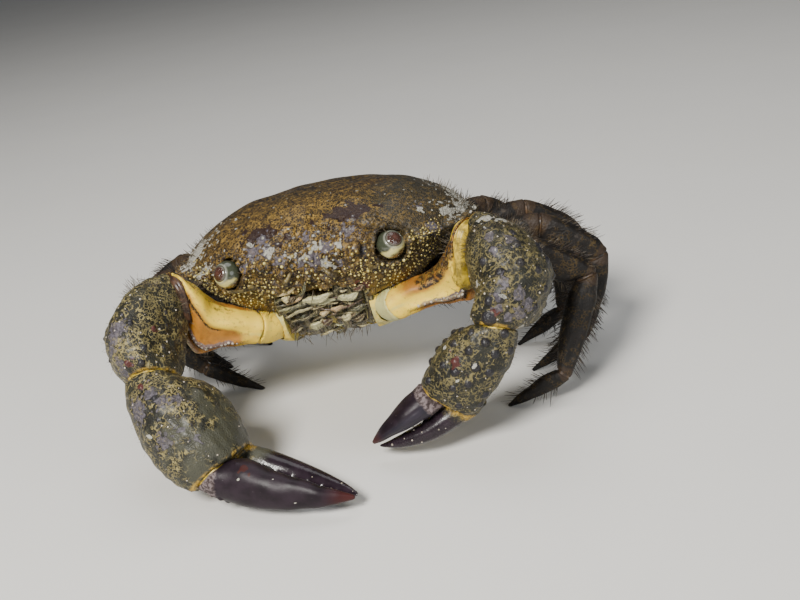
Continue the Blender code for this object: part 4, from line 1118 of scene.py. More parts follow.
def shell_finish(name):
    """Brown shell with fine golden speckles, dark patches, crusts and painted shade."""
    paint, c = Paint(name), shades()
    on_arm = name != "carapace_shell"
    size = sizes().net_claw if on_arm else sizes().net_shell
    dark, light, bright = (c.claw_shell, c.olive, c.net) if on_arm else (c.shell_dark, c.shell, c.gold)
    base = paint.mix(paint.noise(8.0, 4.0).ease(0.36, 0.66), dark, light)
    base = paint.mix(paint.noise(2.0, 3.0).ease(0.5, 0.72) * 0.6, base, scaled(dark, 0.4))
    strong = paint.mask("net")
    shaken = paint.shaken(size * 1.1, size * 0.85)
    line = paint.cells(size, "DISTANCE_TO_EDGE", shaken).ease(0.09, 0.03)
    line = line * (paint.noise(size * 1.5, 2.0) + (strong - 0.5) * 0.3).ease(0.47, 0.55)
    worm = paint.noise(size * (1.5 if on_arm else 2.2), 1.0, 0.5, at=shaken)
    worm = worm.ease(0.43, 0.475) * worm.ease(0.57, 0.525) * paint.noise(size * 2.6, 2.0).ease(0.42, 0.54)
    dots = paint.cells(size * 0.6, "F1", shaken).ease(0.34, 0.18)
    dots = dots * paint.noise(size * 3.4, 2.0).ease(0.4, 0.6)
    if on_arm:
        line = line * paint.noise(7.0, 2.0).ease(0.44, 0.56)
    net = line.most(worm).most(dots * (0.5 if on_arm else 1.0)) * strong.ease(0.0, 0.3)
    gold = paint.mix(paint.noise(3.0, 3.0).ease(0.3, 0.7), bright, scaled(bright, 0.55))
    tint = paint.mix(net * (0.4 + paint.mask("bright") * 0.6), base, gold)
    tint = paint.mix(paint.mask("smooth"), tint, scaled(c.olive, 2.4 if on_arm else 1.2))
    # painted shade: darker under the carapace's front edge and over the whole left arm
    tint = paint.mix(paint.mask("painted_shade"), tint, dark)
    warm = paint.mask("warm") * paint.noise(3.0, 4.0, 0.65).ease(0.42, 0.60)
    tint = paint.mix(warm * 0.85, tint, tuple(0.5 * (a + b) for a, b in zip(c.orange, c.yellow)))
    ragged = (paint.noise(1.6, 4.0, 0.65) - 0.5) * 1.3
    maroon = (paint.mask("maroon") + ragged * 0.35).ease(0.35, 0.6)
    tint = paint.mix(maroon * 0.93, tint, c.maroon)
    warts = (paint.mask("wart") + ragged * 0.2).ease(0.4, 0.7)
    tint = paint.mix(warts * 0.9, tint, c.wart)
    tint = paint.mix((paint.mask("red") + ragged * 0.3).ease(0.4, 0.65) * 0.85, tint, c.red)
    crust = (paint.mask("lilac") + ragged).ease(0.42, 0.52)
    speck = paint.noise(0.7, 3.0, 0.7)
    lilac = paint.mix(speck.ease(0.4, 0.65), scaled(c.lilac, 0.4), c.lilac)
    tint = paint.mix(crust * (0.65 if on_arm else 0.85), tint, lilac)
    chalk = (paint.mask("chalk") + ragged).ease(0.45, 0.55)
    tint = paint.mix(chalk * speck.ease(0.3, 0.5), tint, c.chalk)
    grains = paint.cells(0.42, "SMOOTH_F1").ease(0.6, 0.1)
    pits = paint.noise(0.5, 3.0, 0.6)
    height = net * 0.4 + grains * 0.5 + pits * 0.6 + crust * (0.8 + speck) + chalk * (1.0 + speck)
    rough = 0.46 - warts * 0.12 + crust * 0.25 + chalk * 0.2 + pits * 0.12 - paint.mask("smooth") * 0.15
    if on_arm:
        tips = paint.mask("tip")
        inked = paint.mix(paint.noise(5.0).ease(0.35, 0.7), c.finger, scaled(c.finger, 2.2))
        tint = paint.mix(tips, tint, inked)
        height = height * (1 - tips * 0.85)
        rough = rough - tips * 0.25
    return paint.finish(
        tint, rough, height, 0.15,
        coat_weight=0.12, coat_roughness=0.3, specular_ior_level=0.3 if on_arm else 0.36,
    )


def soft_finish(name):
    """The smooth orange, yellow and cream skin of the arms' inner sides and the underside."""
    paint, c = Paint(name), shades()
    mottle = paint.noise(3.5, 4.0)
    tint = paint.mix(mottle.ease(0.35, 0.7), c.orange, scaled(c.orange, 0.72))
    tint = paint.mix((paint.mask("yellow") + (mottle - 0.5) * 0.6).ease(0.2, 0.8), tint, c.yellow)
    tint = paint.mix((paint.mask("cream") + (mottle - 0.5) * 0.6).ease(0.2, 0.8), tint, c.cream)
    brown = paint.mix(paint.noise(1.0, 3.0).ease(0.4, 0.62), c.shell, scaled(c.shell, 0.45))
    speck = paint.cells(0.62, "DISTANCE_TO_EDGE", paint.shaken(0.7, 0.5)).ease(0.14, 0.05)
    brown = paint.mix(speck * paint.noise(1.4).ease(0.42, 0.55) * 0.8, brown, c.gold)
    # the brown zone, which also holds painted shade in the merus's crease and groove
    zone = (paint.mask("brown") + (paint.noise(1.2, 4.0) - 0.5) * 0.9).ease(0.35, 0.65)
    tint = paint.mix(zone, tint, brown)
    zone = (paint.mask("lilac") + (paint.noise(1.2, 4.0) - 0.5) * 0.8).ease(0.4, 0.6)
    tint = paint.mix(zone * 0.7, tint, c.lilac)
    tint = paint.mix(paint.noise(1.1, 4.0).ease(0.55, 0.72) * 0.45, tint, scaled(c.orange, 0.4))
    height = paint.noise(0.8, 4.0) * 0.7 + paint.cells(0.5).ease(0.5, 0.1) * 0.3 * paint.mask("brown")
    return paint.finish(
        tint, 0.42 + paint.noise(1.5) * 0.16, height, 0.10, subsurface_weight=0.12, subsurface_scale=0.0015
    )


def finger_finish(name):
    """Glossy purple-black fingers with a painted bluish highlight along the outer flank, a pale, warty root
    and a reddish end.
    """
    paint, c = Paint(name), shades()
    streak = paint.noise(4.0, 4.0)
    tint = paint.mix(streak.ease(0.35, 0.7), c.finger, scaled(c.finger, 2.0))
    # painted highlight: a bluish sheen band along the finger's outer flank
    tint = paint.mix(paint.mask("painted_sheen") * 0.5, tint, (0.034, 0.034, 0.048))
    tint = paint.mix(paint.mask("end") * 0.8, tint, c.finger_tip)
    ragged = (paint.noise(1.3, 4.0) - 0.5) * 1.1
    root = (paint.mask("root") + ragged * 0.6).ease(0.35, 0.65)
    pitted = paint.mix(paint.noise(0.9, 3.0).ease(0.4, 0.6), (0.045, 0.032, 0.030), (0.19, 0.15, 0.15))
    tint = paint.mix(root * 0.85, tint, pitted)
    tint = paint.mix((paint.mask("red") + ragged * 0.3).ease(0.4, 0.65), tint, scaled(c.red, 0.5))
    chalk = (paint.mask("chalk") + ragged * 0.7).ease(0.45, 0.55)
    tint = paint.mix(chalk, tint, c.chalk)
    fleck = paint.cells(1.3, "F1").ease(0.08, 0.04) * paint.noise(5.0).ease(0.5, 0.62)
    tint = paint.mix(fleck * 0.6, tint, (0.34, 0.30, 0.32))
    height = paint.noise(1.1, 4.0) * 0.5 + root * paint.cells(0.6).ease(0.6, 0.1) * 0.8 + chalk
    rough = 0.34 + streak * 0.18 + root * 0.2 + chalk * 0.3
    return paint.finish(tint, rough, height, 0.12, specular_ior_level=0.22)


def leg_finish(name):
    """Brown mottled legs, paler at the joints and dark at the claws."""
    paint, c = Paint(name), shades()
    blotch = paint.noise(5.0, 4.0).ease(0.38, 0.66)
    tint = paint.mix(blotch, scaled(c.leg, 0.45), c.leg)
    net = paint.cells(0.8, "DISTANCE_TO_EDGE", paint.shaken(0.9, 0.7)).ease(0.14, 0.05)
    net = net * paint.noise(2.0, 3.0).ease(0.48, 0.6)
    tint = paint.mix(net * 0.4, tint, scaled(c.gold, 0.35))
    band = (paint.mask("joint") + (paint.noise(1.6, 3.0) - 0.5) * 0.7).ease(0.35, 0.75)
    tint = paint.mix(band * 0.4, tint, (0.060, 0.034, 0.017))
    tint = paint.mix(paint.noise(3.0, 4.0).ease(0.62, 0.7) * 0.3, tint, (0.085, 0.068, 0.055))
    tint = paint.mix(paint.mask("tip"), tint, scaled(c.leg, 0.35))
    grains = paint.cells(0.55, "SMOOTH_F1").ease(0.6, 0.1)
    height = grains * 0.5 + paint.noise(0.6, 3.0) * 0.6 + net * 0.3
    return paint.finish(tint, 0.5 + paint.noise(0.9) * 0.2, height, 0.14, specular_ior_level=0.35)


def mouth_finish(name):
    """Leaves from dark brown to pale cream, green or rust, each with fine ribs along it."""
    paint, c = Paint(name), shades()
    grain, fine = paint.noise(1.0, 3.0), paint.noise(0.4, 3.0)
    wave = paint.mask("across") * 7.0 + grain * 7.0 + paint.mask("shift") * 6.3
    wave = paint.node("Math", {"operation": "SINE"}, {0: wave})
    stripe = (wave * 0.5 + 0.5 + (fine - 0.5) * 0.9).ease(0.55, 0.95)
    tint = paint.mix(paint.noise(1.8, 3.0).ease(0.4, 0.65), c.mouth, (0.085, 0.055, 0.018))
    light = (paint.mask("pale") + (grain - 0.5) * 0.5).ease(0.2, 0.8)
    tint = paint.mix(light, tint, c.mouth_light)
    green = paint.mix(light, (0.035, 0.045, 0.024), (0.30, 0.36, 0.20))
    tint = paint.mix(paint.mask("green") * 0.8, tint, green)
    rust = paint.mix(light, (0.07, 0.018, 0.012), (0.46, 0.17, 0.07))
    tint = paint.mix(paint.mask("rust") * 0.8, tint, rust)
    tint = paint.mix((1 - stripe) * light * 0.3, tint, c.mouth)
    tint = paint.mix(stripe * 0.3, tint, c.mouth_light)
    tint = paint.mix((1 - fine).ease(0.54, 0.62) * 0.35, tint, scaled(c.mouth, 0.3))
    tint = paint.mix(fine.ease(0.60, 0.68) * 0.6, tint, c.chalk)
    return paint.finish(
        tint, 0.30 + fine * 0.25, stripe * 0.6 + fine, 0.12, coat_weight=0.2, coat_roughness=0.2
    )


def eye_finish(name):
    """A glossy eyestalk: cream below, grey-green above, with a pale rim round the facets, a brown lid, and
    painted shade in its socket.
    """
    paint, c = Paint(name), shades()
    vein = paint.noise(0.8, 4.0, 0.6)
    tint = paint.mix((paint.mask("low") + (vein - 0.5) * 0.5).ease(0.15, 0.85), c.eye_shade, c.eye)
    tint = paint.mix(vein.ease(0.58, 0.68) * 0.5, tint, scaled(c.eye_shade, 0.5))
    tint = paint.mix(paint.mask("rim") * 0.7, tint, (0.27, 0.27, 0.22))
    lid = paint.mix(vein.ease(0.4, 0.6), (0.045, 0.028, 0.010), (0.20, 0.13, 0.04))
    tint = paint.mix(paint.mask("lid"), tint, lid)
    # painted shade in the socket and along the lid's edge
    tint = paint.mix(paint.mask("dark"), tint, (0.020, 0.014, 0.009))
    return paint.finish(tint, 0.14 + vein * 0.08, vein, 0.03, coat_weight=0.5, coat_roughness=0.05)


def cornea_finish(name):
    """Red-brown facets, darker round the edge with painted shade where they meet the eyestalk, under a clear
    gloss.
    """
    paint, c = Paint(name), shades()
    facets = paint.cells(0.16, "DISTANCE_TO_EDGE").ease(0.02, 0.14)
    tint = paint.mix(paint.mask("edge"), c.cornea, (0.12, 0.11, 0.085))
    tint = paint.mix(paint.mask("core") * 0.8, tint, scaled(c.cornea, 2.0))
    tint = paint.mix((1 - facets) * 0.35, tint, (0.02, 0.008, 0.006))
    # painted shade at the rim where the facets meet the eyestalk
    tint = paint.mix(paint.mask("dark"), tint, (0.012, 0.010, 0.009))
    rough = 0.10 + paint.noise(0.5) * 0.05
    return paint.finish(tint, rough, facets, 0.012, coat_weight=0.8, coat_roughness=0.03)


def plain_finish(name, first, second, size, roughness, depth=0.05, **constants):
    """Two shades of a colour, for beads, bristles and small growths."""
    paint = Paint(name)
    mottle = paint.noise(size, 3.0)
    tint = paint.mix(mottle.ease(0.35, 0.68), first, second)
    rough = roughness + (mottle - 0.5) * 0.2
    return paint.finish(tint, rough, paint.noise(size * 0.4, 3.0), depth, **constants)


def small_finish(name):
    """The material of one kind of bead, growth, bristle or feeler."""
    c = shades()
    first, second, size, roughness, rest = {
        "golden_bead": (
            (0.16, 0.11, 0.025), (0.60, 0.50, 0.16), 1.1, 0.3, {"depth": 0.03, "coat_weight": 0.3}
        ),
        "arm_bead": ((0.20, 0.17, 0.13), (0.50, 0.44, 0.36), 3.0, 0.4, {"depth": 0.03}),
        "chalk_growth": (scaled(c.chalk, 0.6), c.chalk, 0.8, 0.6, {}),
        "pale_bristle": (scaled(c.bristle_pale, 0.45), c.bristle_pale, 2.0, 0.5, {}),
        "dark_bristle": (c.bristle_dark, scaled(c.bristle_dark, 2.2), 2.0, 0.5, {}),
        "ringed_feeler": ((0.035, 0.024, 0.010), (0.20, 0.15, 0.05), 1.4, 0.45, {}),
    }[name]
    return plain_finish(name, first, second, size, roughness, **rest)


FINISHES = {
    "carapace_shell": shell_finish, "claw_shell": shell_finish, "soft_skin": soft_finish,
    "dark_finger": finger_finish, "leg_shell": leg_finish, "mouth_leaf": mouth_finish,
    "eye_bulb": eye_finish, "eye_facets": cornea_finish,
}


def finish_of(name):
    """The material of this name, made on first use."""
    return bpy.data.materials.get(name) or FINISHES.get(name, small_finish)(name)


class Pattern(Graph):
    """A Geometry Nodes tree that sets one small form at every point of a cloud."""

    prefix = "GeometryNode"

    def __init__(self, name, inputs):
        tree = bpy.data.node_groups.new(name, "GeometryNodeTree")
        super().__init__(tree)
        tree.interface.new_socket("Geometry", in_out="INPUT", socket_type="NodeSocketGeometry")
        tree.interface.new_socket("Geometry", in_out="OUTPUT", socket_type="NodeSocketGeometry")
        for label, kind, default in inputs:
            tree.interface.new_socket(label, in_out="INPUT", socket_type=kind).default_value = default
        self.start = tree.nodes.new("NodeGroupInput")
        self.stop = tree.nodes.new("NodeGroupOutput")

    def given(self, label):
        return Value(self, self.start.outputs[label])

    def node(self, kind, settings=None, sockets=None, output=0):
        return super().node("ShaderNodeMath" if kind == "Math" else kind, settings, sockets, output)

    def stored(self, name, kind="FLOAT"):
        return self.node("InputNamedAttribute", {"data_type": kind}, {"Name": name})

    def close(self, cloud_form, tall, material):
        """Sets the form at the points, turned along their "way" and sized by their "size"."""
        spin = self.node(
            "FunctionNodeRandomValue", {"data_type": "FLOAT"},
            {2: 0.0, 3: TAU, "Seed": self.given("Seed")}, output=1,
        )
        turned = self.node("ShaderNodeCombineXYZ", None, {"Z": spin})
        turned = self.node("FunctionNodeEulerToRotation", None, {0: turned})
        turned = self.node(
            "FunctionNodeAlignRotationToVector", {"axis": "Z"},
            {"Rotation": turned, "Vector": self.stored("way", "FLOAT_VECTOR")},
        )
        low, high = 1 - self.given("Unevenness"), 1 + self.given("Unevenness")
        uneven = self.node(
            "FunctionNodeRandomValue", {"data_type": "FLOAT"},
            {2: low, 3: high, "Seed": self.given("Seed") + 11}, output=1,
        )
        size = self.stored("size") * uneven
        wide = self.given("Width") * (self.stored("size") if tall else size)
        tall_axis = self.given("Height") * size
        scale = self.node("ShaderNodeCombineXYZ", None, {"X": wide, "Y": wide, "Z": tall_axis})
        placed = self.node(
            "InstanceOnPoints", None,
            {"Points": self.given("Geometry"), "Instance": cloud_form, "Rotation": turned, "Scale": scale},
        )
        real = self.node("RealizeInstances", None, {"Geometry": placed})
        real = self.node("SetShadeSmooth", None, {0: real})
        real = self.node("SetMaterial", None, {"Geometry": real, "Material": material})
        self.tree.links.new(real.socket, self.stop.inputs[0])
        return self.tree


SCATTER_INPUTS = (
    ("Width", "NodeSocketFloat", 1.0),
    ("Height", "NodeSocketFloat", 1.0),
    ("Unevenness", "NodeSocketFloat", 0.2),
    ("Seed", "NodeSocketInt", 0),
)


def bead_pattern(name, material):
    """Round beads of a few dozen faces."""
    pattern = Pattern(name, SCATTER_INPUTS)
    form = pattern.node("MeshUVSphere", None, {"Segments": 8, "Rings": 5, "Radius": 1.0})
    return pattern.close(form, False, material)


def bristle_pattern(name, material):
    """Thin bristles that taper and curve."""
    pattern = Pattern(name, (*SCATTER_INPUTS, ("Bend", "NodeSocketFloat", 6.0)))
    end = pattern.node("ShaderNodeCombineXYZ", None, {"X": pattern.given("Bend"), "Z": 1.0})
    line = pattern.node(
        "GeometryNodeCurveQuadraticBezier", None,
        {"Resolution": 4, "Start": (0, 0, -0.04), "Middle": (0, 0, 0.55), "End": end},
    )
    share = pattern.node("SplineParameter", output="Factor")
    line = pattern.node("SetCurveRadius", None, {"Curve": line, "Radius": 1 - share * 0.85})
    ring = pattern.node("GeometryNodeCurvePrimitiveCircle", None, {"Resolution": 3, "Radius": 1.0})
    form = pattern.node("CurveToMesh", None, {"Curve": line, "Profile Curve": ring, "Fill Caps": True})
    return pattern.close(form, True, material)


def scattered(name, tree, places, ways, dims, inputs, slot, patches=None):
    """The pattern's form at each place (millimetres, where they stand), as one plain mesh."""
    cloud = bpy.data.meshes.new(name)
    cloud.from_pydata(stood(places).tolist(), [], [])
    for mark, kind, key, held in (("way", "FLOAT_VECTOR", "vector", ways), ("size", "FLOAT", "value", dims)):
        layer = cloud.attributes.new(mark, kind, "POINT")
        layer.data.foreach_set(key, np.asarray(held, np.float32).ravel())
    thing = linked(name, cloud)
    modifier = thing.modifiers.new("pattern", "NODES")
    modifier.node_group = tree
    inputs = {"Seed": sizes().seed, **inputs}
    for socket in tree.interface.items_tree:
        if socket.name in inputs and socket.in_out == "INPUT":
            modifier[socket.identifier] = inputs[socket.name]
    mesh = plain_mesh(thing)
    thing.modifiers.clear()
    bpy.data.objects.remove(thing)
    material = next(each for each in mesh.materials if each)
    mesh.polygons.foreach_set("material_index", np.zeros(len(mesh.polygons), np.int32))
    for layer in list(mesh.uv_layers):
        mesh.uv_layers.remove(layer)
    if patches is not None:
        each = len(mesh.vertices) // len(places)
        corner = np.empty(len(mesh.loops), np.int32)
        mesh.loops.foreach_get("vertex_index", corner)
        own, within = corner // each, corner % each
        turn = within % 3 * TAU / 3
        reach = 0.0007 + 0.0008 * (within // 3) / max(each // 3 - 1, 1)
        spread = np.column_stack([np.cos(turn), np.sin(turn)]) * reach[:, None]
        flat = np.clip(np.asarray(patches)[own] + spread, 0.0005, 0.9995)
        mesh.uv_layers.new(name="OFBake").data.foreach_set("uv", flat.astype(np.float32).ravel())
    return place(name, mesh, material, slot)


# The crab's pieces


def whole_edge(points):
    """Both halves of an outline that is given for the crab's left, by angle from the front."""
    points = np.array(points, float)
    angle = np.arctan2(points[:, 0], -(points[:, 1] - DOME_PEAK_Y))
    reach = np.hypot(points[:, 0], points[:, 1] - DOME_PEAK_Y)
    rows = np.column_stack([angle, reach, *points[:, 2:].T])
    other = rows[1:-1][::-1].copy()
    other[:, 0] = TAU - other[:, 0]
    last = rows[0].copy()
    last[0] = TAU
    return np.vstack([rows, other, last])


def relief(x, y):
    """The swellings less the grooves, which part the carapace into its regions."""
    def height(rows):
        return sum(
            high * np.exp(-(((np.abs(x) - x0) / wide) ** 2) - ((y - y0) / long) ** 2)
            for x0, y0, wide, long, high in rows
        )
    return height(SWELLINGS) - height(GROOVES)


def carapace_rows(columns, top_rows, under_rows):
    """Rings of the carapace from its peak over the edge and down its folded sides, in the body's frame."""
    edge = whole_edge(CARAPACE_EDGE)
    under = whole_edge(UNDER_EDGE)
    angle = (np.arange(columns) + 0.5) * TAU / columns
    angle = angle - 0.11 * np.sin(2 * angle) - 0.20 * np.sin(angle)
    reach, edge_height = through(edge, angle).T
    reach_under = through(under, angle)[:, 0]
    away = np.column_stack([np.sin(angle), -np.cos(angle)])
    frontness = np.clip(np.cos(angle), 0, 1)
    rows = []
    for share in np.linspace(0, 1, top_rows + 1)[1:]:
        share = share**0.85
        x, y = (away * (reach * share)[:, None]).T
        y = y + DOME_PEAK_Y
        fall = (1 - share ** (2.7 - 0.5 * frontness)) ** 0.82
        height = edge_height + (DOME_HEIGHT - edge_height) * fall
        rows.append(np.column_stack([x, y, height + relief(x, y) * (1 - share**6)]))
    for share in np.linspace(0, 1, under_rows + 1)[1:]:
        tuck = share ** (1.15 + 0.9 * frontness)
        out = reach + (reach_under - reach) * tuck
        x, y = (away * out[:, None]).T
        height = edge_height + (SHELL_FLOOR - edge_height) * share
        rows.append(np.column_stack([x, y + DOME_PEAK_Y, height]))
    return np.array(rows)


def mouth_frame():
    """Down along the mouth's slanted plates, and out of them."""
    down = np.array([0, math.sin(MOUTH_SLANT), -math.cos(MOUTH_SLANT)])
    out = np.array([0, -math.cos(MOUTH_SLANT), -math.sin(MOUTH_SLANT)])
    return down, out


def in_mouth(across, down, out):
    """A point given across the mouth, down its plates and out of them, in the body's frame."""
    way_down, way_out = mouth_frame()
    return np.array(MOUTH_TOP) + np.array([across, 0, 0]) + way_down * down + way_out * out


def mouth_recess():
    """The room for the mouth, which is cut out of the carapace."""
    down, out = mouth_frame()
    depth = 12.0
    middle = np.array(MOUTH_TOP) + down * (MOUTH_LENGTH / 2 + 1.0) + out * (depth - MOUTH_DEPTH)
    half = (MOUTH_HALF_WIDTH + GAP, MOUTH_LENGTH / 2 + 1.0 + GAP, depth)
    axes = np.array(([1.0, 0, 0], down, out))
    corners = [(a, b, c) for a in (-1, 1) for b in (-1, 1) for c in (-1, 1)]
    points = [middle + (np.array(k) * half) @ axes for k in corners]
    return points, [(0, 1, 3, 2), (4, 6, 7, 5), (0, 4, 5, 1), (2, 3, 7, 6), (0, 2, 6, 4), (1, 5, 7, 3)]


def arm_segments(side):
    """The lengths of a claw arm from its root in the body to the wrist, and the wrist's plane."""
    arm = ARMS[side]
    root, hip = (in_body(mirrored(arm[key], side)) for key in ("root", "hip"))
    elbow, wrist, palm_end = (mirrored(arm[key], side) for key in ("elbow", "wrist", "palm_end"))
    half = GAP / 2
    hip_face = unit(unit(hip - root) + unit(elbow - hip))
    elbow_face = unit(unit(elbow - hip) + unit(wrist - elbow))
    wrist_face = unit(unit(wrist - elbow) + unit(palm_end - wrist))
    back, up, outward = np.eye(3)[1], np.eye(3)[2], np.array([side, 0.0, 0.0])
    base = Segment(
        root, hip - hip_face * half, back, up,
        ((0, *ARM_ROOT), (0.6, 4.9, 4.7), (1, *ARM_HIP)),
        end_face=hip_face,
    )
    merus = Segment(
        hip + hip_face * half, elbow - elbow_face * half, back, up,
        ((0, *ARM_HIP), *arm["merus"]), start_face=hip_face, end_face=elbow_face, power=2.8,
    )
    carpus = Segment(
        elbow + elbow_face * half, wrist - wrist_face * half, outward, up,
        (*arm["carpus"], (1, *arm["palm"][0][1:])),
        start_face=elbow_face, end_face=wrist_face, power=2.15, narrowing=arm["carpus_narrowing"],
    )
    return base, merus, carpus, wrist_face


def claw_segments(side, wrist_face):
    """The palm, the finger fixed to it and the moving finger."""
    arm = ARMS[side]
    wrist, end, tip = (mirrored(arm[key], side) for key in ("wrist", "palm_end", "finger_tip"))
    axis = unit(end - wrist)
    dorsal = mirrored(arm["dorsal"], side)
    dorsal = unit(dorsal - axis * (dorsal @ axis))
    outer = np.cross(axis, dorsal) * -side
    palm = Segment(
        wrist + wrist_face * GAP / 2, end, outer, dorsal, arm["palm"], wrist_face, axis, 2.25
    )
    height = arm["palm"][-1][2]
    thick, wide = arm["finger"], arm["finger_width"]
    reach = np.linalg.norm(tip - end)
    forward = unit(tip - end)
    bow, swing = reach * FINGER_BOW, reach * arm["swing"]
    mover = Segment(
        end + axis * GAP + dorsal * (height - thick * 0.98), tip + dorsal * 0.9, outer, dorsal,
        (
            (0, wide * 0.94, thick * 0.94, 0, 0),
            (0.16, wide, thick * 0.90, swing * 0.4, bow * 0.35),
            (0.5, wide * 0.76, thick * 0.66, swing, bow),
            (0.8, wide * 0.43, thick * 0.37, swing * 0.72, bow * 0.8),
            (0.95, wide * 0.19, thick * 0.17, swing * 0.22, bow * 0.25),
            (1, 0.45, 0.45, 0, 0),
        ),
        start_face=axis, end_face=forward, power=2.2,
    )
    below = end - dorsal * (height - thick * 0.78)
    low_tip = tip - dorsal * 0.9
    bow, swing = bow * arm["fixed_bow"], reach * arm["fixed_swing"]
    fixed = Segment(
        below - unit(low_tip - below) * 4.0, low_tip, outer, dorsal,
        (
            (0, wide * 0.85, thick * 0.82, 0, 0),
            (0.25, wide * 0.84, thick * 0.78, swing * 0.5, -bow * 0.7),
            (0.55, wide * 0.66, thick * 0.60, swing, -bow * 1.5),
            (0.82, wide * 0.38, thick * 0.36, swing * 0.68, -bow),
            (0.96, wide * 0.17, thick * 0.16, swing * 0.2, -bow * 0.3),
            (1, 0.45, 0.45, 0, 0),
        ),
        start_face=axis, end_face=forward, power=2.2,
    )
    return palm, fixed, mover


def leg_segments(side, points):
    """The four lengths of a walking leg, with flat faces in the planes that halve its bends."""
    hip = in_body(mirrored(points[0], side))
    joints = [hip] + [mirrored(point, side) for point in points[1:]]
    root = in_body(mirrored((points[0][0] - 5.0, points[0][1] * 0.86, points[0][2]), side))
    run = [root] + joints
    ways = [unit(b - a) for a, b in zip(run, run[1:])]
    outward = joints[1] - hip
    outward[2] = 0
    outward = unit(outward)
    above = outward * 0.6 + np.array([0, 0, 0.8])
    across = np.cross(outward, np.array([0, 0, 1.0]))
    faces = [unit(a + b) for a, b in zip(ways, ways[1:])]
    segments = []
    for k in range(4):
        start, end = joints[k], joints[k + 1]
        first = root if k == 0 else start + faces[k] * (GAP / 2)
        last = end if k == 3 else end - faces[k + 1] * (GAP / 2)
        keys = [(0, *LEG_FACES[k]), *LEG_SWELL[k], (1, *LEG_FACES[k + 1])]
        segments.append(
            Segment(
                first, last, across, above, keys,
                start_face=ways[0] if k == 0 else faces[k],
                end_face=ways[k + 1] if k == 3 else faces[k + 1],
                power=2.4 if k == 0 else 2.2,
            )
        )
    return segments


def revolved(profile, centre, axis, sides):
    """Rings of a round piece: distances along its axis and radii."""
    axis = unit(axis)
    aside = unit(np.cross(axis, [0.0, 0.0, 1.0]))
    up = np.cross(aside, axis)
    turn = (np.arange(sides) + 0.5) * TAU / sides
    return np.array([
        np.asarray(centre) + axis * along + np.outer(np.cos(turn) * radius, aside)
        + np.outer(np.sin(turn) * radius, up)
        for along, radius in profile
    ])


STORE = {}  # skins that later pieces are set on, by name


class CrabOperator:
    """What all of the crab's operators share."""

    bl_options = {"REGISTER", "UNDO"}

    def execute(self, context):
        self.build()
        return {"FINISHED"}


